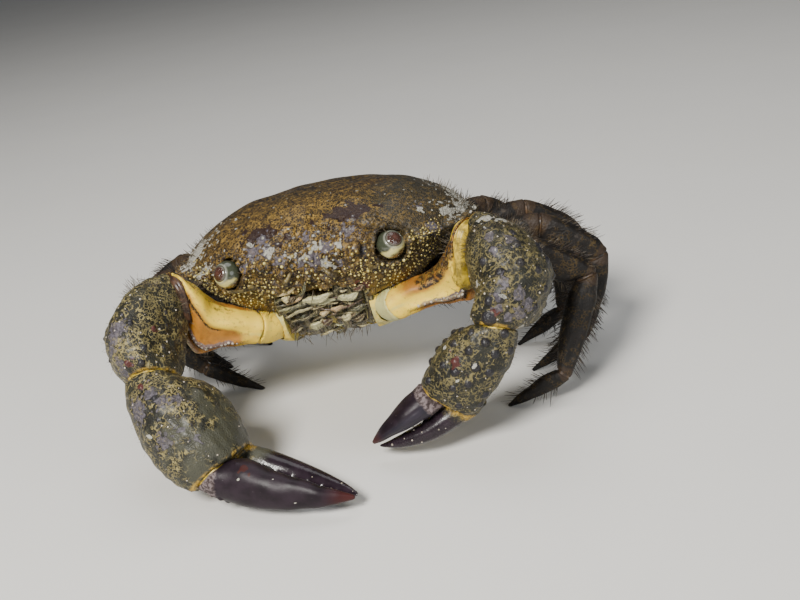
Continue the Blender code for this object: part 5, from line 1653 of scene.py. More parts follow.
class CRAB_OT_carapace(CrabOperator, bpy.types.Operator):
    """Shapes the carapace with its regions, orbits, spines and markings"""

    bl_idname = "crab.carapace"
    bl_label = "Carapace"

    def build(self):
        rows = carapace_rows(150, 34, 16)
        count, columns = rows.shape[:2]
        peak = np.array([0.0, DOME_PEAK_Y, DOME_HEIGHT + float(relief(0.0, DOME_PEAK_Y))])
        points = np.vstack([peak[None], rows.reshape(-1, 3)])
        faces = [(0, 1 + j, 1 + (j + 1) % columns) for j in range(columns)]
        faces += bands(1, count, columns)
        faces.append(tuple(1 + (count - 1) * columns + j for j in range(columns))[::-1])
        cutters = [mouth_recess()]
        for side in (RIGHT, LEFT):
            cutters.append(ball(mirrored(ORBIT, side), [ORBIT_RADIUS + ORBIT_ROOM] * 3, 18, 28))
            limbs = [(segment, 8, 18) for segment in arm_segments(side)[:2]]
            limbs += [(leg_segments(side, leg)[0], 7, 14) for leg in LEGS[side]]
            for segment, rings, sides in limbs:
                limb_points, limb_faces = skin(segment.rings(rings, sides, LIMB_ROOM))
                cutters.append((to_body(limb_points), limb_faces))
        tree = BVHTree.FromPolygons([tuple(p) for p in points], faces)
        clay = Clay([(points, faces)], sizes().skin, 3, cutters, self.spines(tree))
        self.model(clay)
        clay.thin(MOST_TRIANGLES)
        self.mark(clay)
        STORE["carapace"] = clay
        clay.finish("carapace_skin", finish_of("carapace_shell"), "shell", ("carapace",), body=True)

    def spines(self, tree):
        """Thorns along the sides, the front and round the orbits."""
        made = []
        edge = whole_edge(CARAPACE_EDGE)
        span = SPINY_TO - SPINY_FROM

        def on_edge(angle, side):
            reach, high = through(edge, angle)[0]
            return [math.sin(angle) * reach * side, DOME_PEAK_Y - math.cos(angle) * reach, high]

        for side in (RIGHT, LEFT):
            for k in range(EDGE_SPINES):
                angle = SPINY_FROM + span * k / (EDGE_SPINES - 1)
                out = unit([math.sin(angle) * side, -math.cos(angle) - 0.25, 0.22])
                scale = 0.8 + 0.25 * math.sin(math.pi * (k + 0.6) / EDGE_SPINES)
                made.append(spike(on_edge(angle, side), out, scaled(EDGE_SPINE, scale), (0, -0.25, 0.12)))
                for step in (-0.32, 0.36):
                    aside = angle + step * span / (EDGE_SPINES - 1)
                    made.append(spike(on_edge(aside, side), out, SMALL_SPINE))
            for k in range(FRONT_SPINES):
                angle = math.atan2(1.9 + 12.2 * k / (FRONT_SPINES - 1), 25.3)
                made.append(spike(on_edge(angle, side), (0.12 * side, -1, -0.18), FRONT_SPINE))
            for first_turn, last_turn in ((22, 172), (196, 342)):
                for k in range(ORBIT_SPINES):
                    turn = math.radians(first_turn + (last_turn - first_turn) * k / (ORBIT_SPINES - 1))
                    wide = ORBIT_RADIUS + 0.85
                    start = Vector((
                        side * (ORBIT.x + wide * math.cos(turn)), ORBIT.y - 15.0,
                        ORBIT.z + wide * math.sin(turn),
                    ))
                    hit = tree.ray_cast(start, Vector((0, 1, 0)))[0]
                    if hit is not None:
                        away = (side * math.cos(turn) * 0.5, -1.0, math.sin(turn) * 0.5)
                        made.append(spike(hit, away, SMALL_SPINE if k % 2 else ORBIT_SPINE))
        return made

    def model(self, clay):
        """Adds the orbits' raised rims, lumps of the front and the folds of the face."""
        x, y, z = clay.points.T
        lift = wobble(clay.points, 7.0, 3) * 0.14 + wobble(clay.points, 2.6, 4) * 0.05
        front = ease(-y, 19.0, 24.0) * ease(z, -6.0, -2.0)
        lift += front * (wobble(clay.points, 1.9, 5) * 0.30 + wobble(clay.points, 1.0, 6) * 0.10)
        face = ease(-z, 1.0, 4.0) * ease(-y, 17.0, 20.0) * (1 - ease(np.abs(x), 12.5, 16.0))
        lift += face * (wobble(clay.points, 1.5, 8) * 0.40)
        for side in (RIGHT, LEFT):
            away = from_orbit(clay.points, side) - ORBIT_RADIUS
            lift += 0.55 * near(away, 0.9, 0.55) * ease(-y, 20, 23)
            lift -= 0.35 * near(away, 2.6, 0.7) * ease(z, 0.5, 3.0)
        clay.push(lift)
        chance = np.random.default_rng(21)
        lumps = []
        for _ in range(FRONT_LUMPS):
            wx = chance.uniform(-19, 19)
            wy = -22.6 + 0.018 * (abs(wx) - 8.0) ** 2 - chance.uniform(-1.2, 4.6)
            lumps.append((wx, wy, 7.5 - 0.5 * (abs(wy) - 22.0), chance.uniform(0.55, 1.05)))
        clay.domes(lumps, 0.55, 0.8)

    def mark(self, clay):
        """Paints the carapace's zones and patches, and painted shade under its front edge."""
        points = clay.points
        x, y, z = points.T
        maroon = np.zeros(len(points))
        for px, py, half_long, half_wide, slope in MAROON_ON_SHELL:
            along = (x - px) * math.cos(slope) + (y - py) * math.sin(slope)
            across = -(x - px) * math.sin(slope) + (y - py) * math.cos(slope)
            away = np.hypot(along / half_long, across / half_wide) * (1 + 0.3 * wobble(points, 1.7, 19))
            maroon = np.maximum(maroon, 1 - ease(away, 0.7, 1.3))
        crust = ease(-y, 20.5, 23.5) * ease(z, -3.0, 0.0) * (1 - ease(np.abs(x + 1.0), 13.0, 18.0))
        middle = np.exp(-((x - 0.5) / 8.0) ** 2 - ((y + 18.0) / 7.0) ** 2)
        near_front, rear = ease(-y, 0.0, 12.0), ease(y, 4, 20)
        under = ease(-z, 0.5, 3.0) * ease(-z, 5.0, 10.0) * ease(-y, 4.0, 12.0)
        face = ease(-z, -0.5, 1.5) * ease(-y, 16.0, 22.0) * (1 - ease(np.abs(x), 19.0, 23.0))
        clay.masks = {
            "maroon": maroon * ease(z, 2, 4),
            "lilac": np.maximum(0.85 * spots(points, LILAC_ON_SHELL, 0.7, 0.4), 0.30 * crust),
            "chalk": np.maximum(0.85 * spots(points, PALE_ON_SHELL, 0.8, 0.4), 0.33 * crust),
            "bright": np.clip(0.15 + 0.4 * near_front + 0.8 * middle, 0, 1),
            "net": np.clip(0.45 + 0.3 * near_front + 0.4 * middle - 0.35 * rear, 0.05, 1),
            "warm": 0.35 * under,
            # painted shade on the face under the front edge
            "painted_shade": 0.4 * face,
            "smooth": 0.50 * ease(x + 2.5 * wobble(points, 5.0, 22), 12.0, 24.0),
            "wart": spots(points, WARTS_ON_SHELL),
            "red": spots(points, RED_ON_SHELL),
        }


class CRAB_OT_shell_beads(CrabOperator, bpy.types.Operator):
    """Sets golden beads under the eyes, along the front and on the cheeks"""

    bl_idname = "crab.shell_beads"
    bl_label = "Shell beads"

    def build(self):
        clay = STORE["carapace"]
        x, y, z = clay.points.T
        weight = np.zeros(len(clay.points))
        for side in (RIGHT, LEFT):
            away = np.hypot(x - side * ORBIT.x, z - ORBIT.z)
            below = ease(-(z - ORBIT.z) + 0.25 * (x * side - ORBIT.x), -0.5, 1.2)
            ring = below * ease(away, 4.9, 5.3) * (1 - ease(away, 9.5, 13.0)) * ease(-y, 12.0, 17.0)
            weight = np.maximum(weight, ring)
        weight *= ease(z, -12.5, -11.0)
        under = clay.scatter(weight * 0.5, 1.15, 420, 31)
        away = [np.hypot(x[under] - side * ORBIT.x, z[under] - ORBIT.z) for side in (RIGHT, LEFT)]
        small = clay.scatter(weight * 0.2, 0.8, 420, 32)
        front = ease(-y, 23.5, 25.5) * ease(z, -5.5, -3.5) * (1 - ease(z, 2.6, 4.5))
        edge = clay.scatter(front * (1 - ease(np.abs(x), 15.5, 17.0)) * 0.25, 1.35, 80, 33)
        face = ease(-z, 2.0, 4.0) * ease(-y, 18.5, 20.5) * (1 - ease(np.abs(x), 13.0, 15.0))
        odd = clay.scatter(face * ease(z, -12, -10) * 0.3, 1.1, 120, 34)
        picked = np.concatenate([under, small, edge, odd])
        chance = np.random.default_rng(35)
        dims = np.concatenate([
            np.clip(1.25 - 0.06 * (np.min(away, axis=0) - 5), 0.6, 1.3), np.full(len(small), 0.5),
            chance.uniform(0.6, 1.6, len(edge)), chance.uniform(0.6, 1.4, len(odd)),
        ])
        bead = sizes().bead
        ways = clay.out[picked]
        scattered(
            "shell_beads", bead_pattern("beads", finish_of("golden_bead")),
            in_body(clay.points[picked] + ways * (dims * bead * 0.15)[:, None]), body_ways(ways), dims,
            {"Width": bead * MM, "Height": bead * 0.9 * MM, "Unevenness": 0.25}, "shell",
        )
        tufts = clay.scatter(spots(clay.points, PALE_ON_SHELL, 0.7) * 0.10, 0.7, 160, 36)
        scattered(
            "shell_growths", bead_pattern("growths", finish_of("chalk_growth")),
            in_body(clay.points[tufts]), body_ways(clay.out[tufts]), chance.uniform(0.4, 1.5, len(tufts)),
            {"Width": 0.24 * MM, "Height": 0.26 * MM, "Unevenness": 0.4}, "shell",
        )


class CRAB_OT_eyes(CrabOperator, bpy.types.Operator):
    """Makes the glossy eyestalks and the facetted eyes"""

    bl_idname = "crab.eyes"
    bl_label = "Eyes"

    def build(self):
        for side in (RIGHT, LEFT):
            centre, gaze = mirrored(ORBIT, side), unit(mirrored(GAZE[side], side))
            start = math.asin(SOCKET_RADIUS / EYE_RADIUS)
            turns = np.linspace(math.pi - 0.02, start, 48)
            stalk = [(EYE_RADIUS * math.cos(a), EYE_RADIUS * math.sin(a)) for a in turns]
            top = EYE_RADIUS * math.cos(start)
            stalk += [(top - down, SOCKET_RADIUS - less) for down, less in SOCKET_STEPS]
            stalk.append((top - 0.7, 0.02))
            points, faces = skin(revolved(stalk, centre, gaze, 56))
            away = points - centre
            facing = away @ unit(gaze)
            angle = np.arccos(np.clip(facing / np.linalg.norm(away, axis=1), -1, 1))
            low = -away[:, 2] / EYE_RADIUS + 0.25 * away[:, 0] * side / EYE_RADIUS
            lid = away @ unit((0.42, -0.1, -0.90)) / EYE_RADIUS + 0.03 * wobble(points, 0.8, 25)
            # painted shade where the bulb sits in its socket and along the lid's edge
            painted_socket_shade = np.maximum(ease(angle, 1.55, 1.85), 0.8 * near(lid, 0.66, 0.035))
            self.part(side, "eye_bulb", "eyestalk", points, faces, {
                "low": ease(low + 0.06 * wobble(points, 1.2, 24), -0.15, 0.35),
                "lid": ease(lid, 0.66, 0.72),
                "rim": near(angle - start, 0.09, 0.07),
                # painted shade under the facets, in the socket and at the lid's edge
                "dark": np.maximum(1 - ease(angle, start - 0.04, start + 0.01), painted_socket_shade),
            })
            lens = [(CORNEA_PLANE, CORNEA_RADIUS * 0.9), (CORNEA_PLANE + 0.2, CORNEA_RADIUS * 0.97)]
            lens += [
                (CORNEA_PLANE + GAP + CORNEA_HEIGHT * math.sin(a), CORNEA_RADIUS * math.cos(a))
                for a in np.linspace(0, math.pi / 2 - 0.02, 22)
            ]
            points, faces = skin(revolved(lens, centre, gaze, 48))
            off = np.linalg.norm(np.cross(points - centre, unit(gaze)), axis=1) / CORNEA_RADIUS
            pupil = np.array(centre) + unit(gaze) * (CORNEA_PLANE + 1.4) + np.array([0.3 * side, -0.2, 0.35])
            self.part(side, "eye_facets", "cornea", points, faces, {
                "edge": 0.8 * ease(off, 0.78, 0.9),
                "core": 1 - ease(np.linalg.norm(points - pupil, axis=1), 0.4, 1.4),
                # painted shade at the facets' rim
                "dark": ease(off, 0.975, 1.0),
            })

    def part(self, side, name, slot, points, faces, masks):
        """Finishes the bulb or the facets of one eye."""
        node = f"{'eyestalk' if slot == 'eyestalk' else 'eye'}_{SIDE_NAMES[side]}"
        shape(f"{name}_{SIDE_NAMES[side]}", in_body(points), faces, finish_of(name), slot, (node,), masks)


class CRAB_OT_mouthparts(CrabOperator, bpy.types.Operator):
    """Makes the mouth's overlapping plates, palps and outer strips"""

    bl_idname = "crab.mouthparts"
    bl_label = "Mouthparts"

    def build(self):
        for side in (RIGHT, LEFT):
            self.parts = []
            for line, wide, thick, pale, swell in MOUTH_PLATES:
                self.leaf(mirrored_line(line, side), wide, thick, (pale, 0.25, 0.0), 22, 3.0, swell)
            self.finish(f"mouth_leaves_{SIDE_NAMES[side]}", (f"mouth_plate_{SIDE_NAMES[side]}",))
        self.parts = []
        chance = np.random.default_rng(44)
        leaves = list(MOUTH_LEAVES)
        for _ in range(LOOSE_LEAVES):
            across, down = chance.uniform(-10.8, 10.8), chance.uniform(0.8, 17.5)
            tilt = math.radians(-18 + 1.2 * across + chance.normal(0, 22))
            step = np.array([math.cos(tilt), math.sin(tilt)]) * chance.uniform(1.0, 3.2)
            high = 1.7 + 1.3 * math.exp(-((across / 7.0) ** 2)) * (1 - 0.5 * ease(down, 8, 17))
            high += chance.uniform(-0.3, 0.3)
            shade = [chance.choice(each) for each in LEAF_SHADES]
            ends = (across - step[0], down - step[1]), (across + step[0], down + step[1])
            leaves.append((*ends, high, chance.uniform(0.20, 0.50), *shade))
        for (a0, d0), (a1, d1), high, wide, *shade in leaves:
            bow = chance.uniform(-0.12, 0.12) * math.hypot(a1 - a0, d1 - d0)
            middle = ((a0 + a1) / 2 + bow * 0.3, (d0 + d1) / 2 + bow, high)
            widths = ((0, wide * 0.4), (0.3, wide), (0.7, wide * 0.9), (1, wide * 0.2))
            thicks = ((0, 0.2), (0.4, 0.2 + wide * 0.45), (1, 0.12))
            line = [(a0, d0, high - 0.5), middle, (a1, d1, high - 0.4)]
            self.leaf(line, widths, thicks, shade, 14, 2.3, (0.05, 5))
        self.finish("mouth_palps")

    def leaf(self, line, widths, thicks, shade, sides, power, swell):
        """Adds a leaf along this line of the mouth."""
        face = mouth_frame()[1] + np.array([0, 0, 0.2])
        route = [in_mouth(*place_on) for place_on in line]
        points, faces, marks = ribbon(route, widths, thicks, face, 32, sides, power, swell)
        shift = (len(self.parts) * 0.37) % 1
        values = np.tile((*shade, shift), (len(points), 1))
        self.parts.append((points, faces, np.column_stack([marks[:, 1], values])))

    def finish(self, name, nodes=()):
        """Makes the leaves added so far one piece."""
        points, faces = joined([(p, f) for p, f, _ in self.parts])
        points = points + np.outer(wobble(points, 1.3, 43), mouth_frame()[1]) * 0.15
        values = np.vstack([v for *_, v in self.parts])
        masks = dict(zip(("across", "pale", "green", "rust", "shift"), values.T))
        shape(name, in_body(points), faces, finish_of("mouth_leaf"), "mouthparts", nodes, masks)


class CRAB_OT_feelers(CrabOperator, bpy.types.Operator):
    """Makes the ringed outer feelers and the folded inner ones"""

    bl_idname = "crab.feelers"
    bl_label = "Feelers"

    def build(self):
        material = finish_of("ringed_feeler")
        for side in (RIGHT, LEFT):
            for kind, corners, thickness, rings in (
                ("antenna", ANTENNA, ANTENNA_THICKNESS, 26), ("antennule", ANTENNULE, ANTENNULE_THICKNESS, 9),
            ):
                root, bend, tip = (mirrored(p, side) for p in corners)
                turn = (np.arange(16) + 0.5) * TAU / 16
                rows = []
                for share in np.linspace(0, 1, 150):
                    a, b = root + (bend - root) * share, bend + (tip - bend) * share
                    way = unit((bend - root) * (1 - share) + (tip - bend) * share)
                    up = unit(np.array([0, 0, 1.0]) - way * way[2])
                    thick = float(through(thickness, share)[0, 0])
                    thick *= 1 - 0.14 * abs(math.cos(share * rings * math.pi)) ** 6
                    round_it = np.outer(np.cos(turn), np.cross(way, up)) + np.outer(np.sin(turn), up)
                    rows.append(a + (b - a) * share + round_it * thick)
                points, faces = skin(np.array(rows))
                name = f"{kind}_{SIDE_NAMES[side]}"
                shape(f"{name}_rings", in_body(points), faces, material, "feeler", (name,))


class CRAB_OT_claw_arms(CrabOperator, bpy.types.Operator):
    """Shapes both claw arms from the body to the wrists"""

    bl_idname = "crab.claw_arms"
    bl_label = "Claw arms"

    def build(self):
        for side in (RIGHT, LEFT):
            prefix = f"claw_{SIDE_NAMES[side]}"
            base, merus, carpus, _ = arm_segments(side)
            for segment, name, count in ((base, "base", 12), (merus, "merus", 26)):
                clay = Clay([skin(segment.rings(count, 40))], INNER_ARM_SKIN, 5)
                if name == "base":
                    self.mark_base(clay, side)
                else:
                    self.shape_merus(clay, segment, side)
                STORE[f"{prefix}_{name}"] = clay
                slot = "belly" if name == "base" else "arm_inside"
                clay.finish(f"{prefix}_{name}_skin", finish_of("soft_skin"), slot, (f"{prefix}_{name}",))
            clay = Clay([skin(carpus.rings(30, 56))], OUTER_ARM_SKIN, 6)
            clay.push(wobble(clay.points, 6.0, 51 + side) * 0.25 + wobble(clay.points, 1.8, 53 + side) * 0.12)
            mark_arm(clay, f"{prefix}_carpus", carpus)
            after, before = carpus.from_ends(clay.points)
            clay.masks["warm"] = np.maximum(
                0.7 * (1 - ease(before, 0.2, 0.7)), 0.4 * (1 - ease(after, 0.2, 0.7))
            )
            STORE[f"{prefix}_carpus"] = clay
            clay.finish(f"{prefix}_carpus_skin", finish_of("claw_shell"), "shell", (f"{prefix}_carpus",))

    def mark_base(self, clay, side):
        """The plain first length of an arm."""
        clay.push(wobble(clay.points, 3.0, 61) * 0.10)
        clay.masks["yellow"] = np.full(len(clay.points), 0.8)
        clay.masks["cream"] = np.full(len(clay.points), 0.25 if side == RIGHT else 0.8)

    def shape_merus(self, clay, segment, side):
        """The crest, folds and colour zones of an arm's second length, with painted shade in its crease and
        groove.
        """
        right = side == RIGHT
        at, turn = segment.local(clay.points)
        rise, front = np.sin(turn), -np.cos(turn)
        crest = near(rise, CREST, 0.16) * ease(front, 0.0, 0.6)
        upper = near(rise, 0.62, 0.2) * ease(front, 0.0, 0.5)
        lift = 0.5 * crest + 0.45 * upper - 0.3 * near(rise, 0.12, 0.3) * ease(front, 0.2, 0.8)
        fold = near(rise, CREASE, 0.09) * ease(front, 0.0, 0.4)
        line = 0.42 + 0.50 * at if right else 0.2 * at - 0.1  # the yellow band's middle
        seam = near(rise - line, -0.30, 0.06) * ease(front, 0.0, 0.4) * ease(at, 0.3, 0.5)
        lift -= 0.75 * fold + 0.22 * seam
        lift = lift * ease(at, 0.05, 0.2) * (1 - ease(at, 0.9, 0.99))
        clay.push(lift + wobble(clay.points, 3.0, 61) * 0.10)
        shell_edge = 0.72 if right else 0.30
        # brown shell on the upper and rear faces, and painted shade in the crease below the crest and in the
        # groove under the yellow band
        brown_and_painted_shade = (
            (0.42 if right else 0.62) * ease(rise, shell_edge, shell_edge + 0.25) * ease(at, 0.2, 0.4),
            0.9 * ease(-front, 0.2, 0.6), 0.8 * fold * ease(at, 0.1, 0.25), 0.72 * seam,
        )
        band = near(rise, line, 0.24 if right else 0.45)
        near_mouth = 1 - ease(at, 0.06, 0.32)
        over = ease(rise - line, -0.05, 0.15) * ease(front, -0.2, 0.1) * (1.0 if right else 0.0)
        cream = ease(-rise, 0.75, 0.95) * 0.4 + 0.45 * near_mouth * near(rise, 0.1, 0.2)
        fringe = near(rise, 0.70, 0.07) * 0.42
        clay.masks = {
            "brown": np.max(brown_and_painted_shade, axis=0),
            "yellow": np.clip(np.maximum(band * 1.1, 0.75 * over) + near_mouth * 0.6, 0, 1),
            "cream": np.clip(cream, 0, 1),
            "lilac": np.maximum(0.95 * crest * ease(at, 0.15, 0.35), fringe * ease(at, 0.15, 0.4)),
        }


def mark_arm(clay, node, segment):
    """Warts and colour zones of an outer length of a claw arm, and painted shade over the left arm."""
    listed = clay.in_sight(WARTS[node])
    centres = np.array([row[:3] for row in listed])
    extra = []
    for order, (turn, count, first, last, radius) in enumerate(WART_ROWS[node]):
        for k in range(count):
            at = first + (last - first) * (k + 0.5 * (order % 2)) / max(count - 0.5, 1)
            point, _ = segment.surface(at, math.radians(turn + 7 * (k % 2)))
            if np.min(np.linalg.norm(centres - point, axis=1)) > WARTS_APART:
                extra.append((*point, radius))
    warts = clay.domes([*listed, *extra], sizes().wart_height, 0.75)
    everywhere = np.ones(len(clay.points))
    clay.masks = {
        "wart": warts,
        "lilac": 0.85 * spots(clay.points, clay.in_sight(LILAC_ON_ARMS), 0.6),
        "chalk": spots(clay.points, clay.in_sight(PALE_ON_ARMS), 0.2),
        "red": spots(clay.points, clay.in_sight(RED_ON_ARMS)),
        # painted shade over the whole left arm
        "painted_shade": everywhere * (0.35 if "left" in node else 0.0),
        "net": everywhere * 0.85,
        "bright": everywhere * 0.6,
    }


class CRAB_OT_hands(CrabOperator, bpy.types.Operator):
    """Shapes both hands: each palm with its fixed finger, and the moving finger"""

    bl_idname = "crab.hands"
    bl_label = "Hands"

    def build(self):
        for side in (RIGHT, LEFT):
            prefix = f"claw_{SIDE_NAMES[side]}"
            palm, fixed, mover = claw_segments(side, arm_segments(side)[3])
            shells = [skin(palm.rings(30, 56)), skin(fixed.rings(40, 36)), *self.teeth(fixed, 90, 0.40)]
            clay = Clay(shells, OUTER_ARM_SKIN, 9)
            at, turn = palm.local(clay.points)
            beyond = (clay.points - palm.end) @ palm.axis
            lift = wobble(clay.points, 5.0, 71 + side) * 0.18 + wobble(clay.points, 1.8, 73 + side) * 0.10
            clay.push(lift * (1 - ease(beyond, 0, 4)))
            mark_arm(clay, f"{prefix}_palm", palm)
            clay.masks["tip"] = ease(beyond, 3.0, 6.5) if side == RIGHT else ease(beyond, 1.0, 3.5)
            if side == RIGHT:
                ragged = 0.3 * wobble(clay.points, 4.0, 75) + 0.12 * wobble(clay.points, 1.4, 76)
                bare = ease(at + 0.6 * ragged, 0.42, 0.72) * ease(ragged - np.cos(turn), -0.55, 0.15)
                clay.masks["smooth"] = 0.75 * bare
                clay.masks["net"] = 0.85 - 0.78 * bare
                clay.masks["wart"] = clay.masks["wart"] * (1 - bare)
            clay.masks["warm"] = 0.85 * ease(beyond, -0.9, -0.3) * (1 - ease(beyond, 0.8, 2.0))
            clay.flatten()
            STORE[f"{prefix}_palm"] = clay
            clay.finish(f"{prefix}_palm_skin", finish_of("claw_shell"), "shell", (f"{prefix}_palm",))
            self.finger(prefix, side, mover)

    def teeth(self, segment, turn, first):
        """Blunt teeth along the gripping edge of a finger."""
        made = []
        for k in range(TEETH):
            at = first + TOOTH_STEP * k
            size = segment.frame(at)[4]
            radii = [size * TOOTH[0], size * TOOTH[0], size * TOOTH[1]]
            made.append(ball(segment.surface(at, math.radians(turn))[0], radii, 8, 12))
        return made

    def finger(self, prefix, side, mover):
        """The moving finger, with two grooves along it and small warts at its root."""
        clay = Clay([skin(mover.rings(44, 36)), *self.teeth(mover, -90, 0.30)], FINGER_SKIN, 6)
        at, turn = mover.local(clay.points)
        rise, aside = np.sin(turn), np.cos(turn)
        flank = ease(aside, 0.2, 0.5)
        groove = (near(rise, 0.35, 0.10) * flank + near(rise, -0.30, 0.10) * flank) * ease(at, 0.12, 0.3)
        clay.push(-0.14 * groove * (1 - ease(at, 0.8, 0.95)) + wobble(clay.points, 3.0, 81) * 0.08)
        chance = np.random.default_rng(82 + side)
        warts = []
        for _ in range(16 if side == LEFT else 12):
            point, _ = mover.surface(chance.uniform(0.01, 0.2), chance.uniform(0, TAU))
            warts.append((*point, chance.uniform(0.4, 0.8)))
        clay.domes(warts, 0.5, 0.8)
        root = (0.02, 0.12) if side == RIGHT else (0.08, 0.26)
        # painted highlight: a sheen band along the middle of the outer flank, fading towards the end
        shine = 0.8 * ease(aside, 0.3, 0.9) * (1 - ease(np.abs(rise + 0.1), 0.3, 0.8))
        clay.masks = {
            "root": 1 - ease(at, *root),
            "painted_sheen": shine * (1 - ease(at, 0.6, 0.95)),
            "end": ease(at, 0.78, 0.98),
            "red": spots(clay.points, clay.in_sight(RED_ON_ARMS)),
            "chalk": spots(clay.points, clay.in_sight(PALE_ON_ARMS), 0.2),
        }
        clay.flatten()
        clay.finish(f"{prefix}_finger_skin", finish_of("dark_finger"), "claw", (f"{prefix}_finger",))


class CRAB_OT_walking_legs(CrabOperator, bpy.types.Operator):
    """Shapes the eight walking legs, length by length"""

    bl_idname = "crab.walking_legs"
    bl_label = "Walking legs"

    def build(self):
        for side, legs in LEGS.items():
            for number, points in enumerate(legs, 1):
                for k, segment in enumerate(leg_segments(side, points)):
                    self.length(side, number, k, segment)

    def length(self, side, number, k, segment):
        """One length of a leg, ridged and hollowed, or the claw at its end."""
        node, last = f"leg_{SIDE_NAMES[side]}_{number}_{LEG_LENGTHS[k]}", k == 3
        clay = Clay([skin(segment.rings(24, 28))], sizes().leg_skin, 4)
        at, turn = segment.local(clay.points)
        rise = np.sin(turn)
        lift = wobble(clay.points, 3.0, number * 10 + k + (5 if side == LEFT else 0)) * 0.10
        inner = ease(at, 0.08, 0.2) * (1 - ease(at, 0.85, 0.95))
        if last:
            lift -= inner * 0.14 * near(np.abs(rise), 0.3, 0.2)
            clay.masks = {"joint": 1 - ease(at, 0, 0.1), "tip": ease(at, 0.72, 0.92)}
        else:
            lift += inner * 0.35 * near(rise, 0.75, 0.15)
            lift -= inner * 0.25 * near(rise, 0.25, 0.22)
            clay.masks = {"joint": np.maximum(1 - ease(at, 0.02, 0.14), ease(at, 0.88, 0.99))}
        clay.push(lift)
        clay.flatten()
        STORE[node] = (clay, segment)
        clay.finish(f"{node}_skin", finish_of("leg_shell"), "leg_tip" if last else "leg", (node,))


class CRAB_OT_joint_skins(CrabOperator, bpy.types.Operator):
    """Fills the joints of the arms and legs with folded soft skin"""

    bl_idname = "crab.joint_skins"
    bl_label = "Joint skins"

    def build(self):
        c = shades()
        shells, elbow, leg_shells = [], [], []
        for side in (RIGHT, LEFT):
            base, merus, carpus, wrist_face = arm_segments(side)
            for before, reach, share in ((base, 1.4, 0.9), (merus, 2.2, 0.90), (carpus, 2.0, 0.86)):
                # the right elbow's skin is painted dark, as shade in its hollow
                dim = before is merus and side == RIGHT
                (elbow if dim else shells).append(self.cuff(before, reach, share))
            mover = claw_segments(side, wrist_face)[2]
            centre, aside, up, wide, high = mover.frame(0.0)
            turn = np.arange(28) * TAU / 28
            rows = []
            for lift, share in ((-1.4, 0.6), (-0.8, 0.8), (-0.3, 0.9), (0.2, 0.84), (0.7, 0.9), (1.2, 0.7)):
                row = centre + mover.start_face * lift + np.outer(np.cos(turn) * wide * share, aside)
                rows.append(row + np.outer(np.sin(turn) * high * share, up))
            shells.append(skin(np.array(rows)))
            for leg in LEGS[side]:
                leg_shells += [self.cuff(segment, 1.1, 0.82) for segment in leg_segments(side, leg)[:3]]
        for name, pieces, first, second in (
            ("joint_skins", shells, scaled(c.yellow, 0.25), scaled(c.yellow, 0.75)),
            # painted shade: dark brown skin for the right elbow's hollow
            ("elbow_skin", elbow, (0.022, 0.010, 0.007), (0.085, 0.040, 0.018)),
            ("leg_joint_skins", leg_shells, c.leg, (0.10, 0.055, 0.025)),
        ):
            shape(name, *joined(pieces), plain_finish(name, first, second, 1.6, 0.4, 0.06), "belly")

    def cuff(self, before, reach, share):
        """A short folded tube across the plane where a length ends."""
        centre, aside, up, wide, high = before.frame(1.0)
        across, along = oval(32, before.power)
        rows = []
        for k, lift in enumerate(np.linspace(-reach, reach, 15)):
            fold = share * (1 + 0.045 * math.cos(k * 2.1)) * (1 - 0.25 * abs(lift / reach) ** 3)
            row = centre + before.end_face * lift + np.outer(across * wide * fold, aside)
            rows.append(row + np.outer(along * high * fold, up))
        return skin(np.array(rows))


class CRAB_OT_underside(CrabOperator, bpy.types.Operator):
    """Finishes the breastplate and the folded tail under the body"""

    bl_idname = "crab.underside"
    bl_label = "Underside"

    def build(self):
        paint, c = Paint("breast_shell"), shades()
        mottle = paint.noise(4.0, 4.0)
        tint = paint.mix(mottle.ease(0.35, 0.7), c.cream, c.yellow)
        tint = paint.mix(paint.noise(1.4, 3.0).ease(0.55, 0.75) * 0.5, tint, scaled(c.orange, 0.6))
        band = paint.node(
            "TexWave", {"wave_type": "BANDS", "bands_direction": "Y"},
            {"Vector": paint.place, "Scale": 30.0, "Distortion": 1.5}, 1,
        )
        height = band * 0.8 + paint.noise(0.8, 3.0)
        material = paint.finish(tint, 0.42 + mottle * 0.15, height, 0.3)
        for node in ("sternum", "abdomen"):
            thing = frame["nodes"][node]
            thing.data.materials.clear()
            thing.data.materials.append(material)


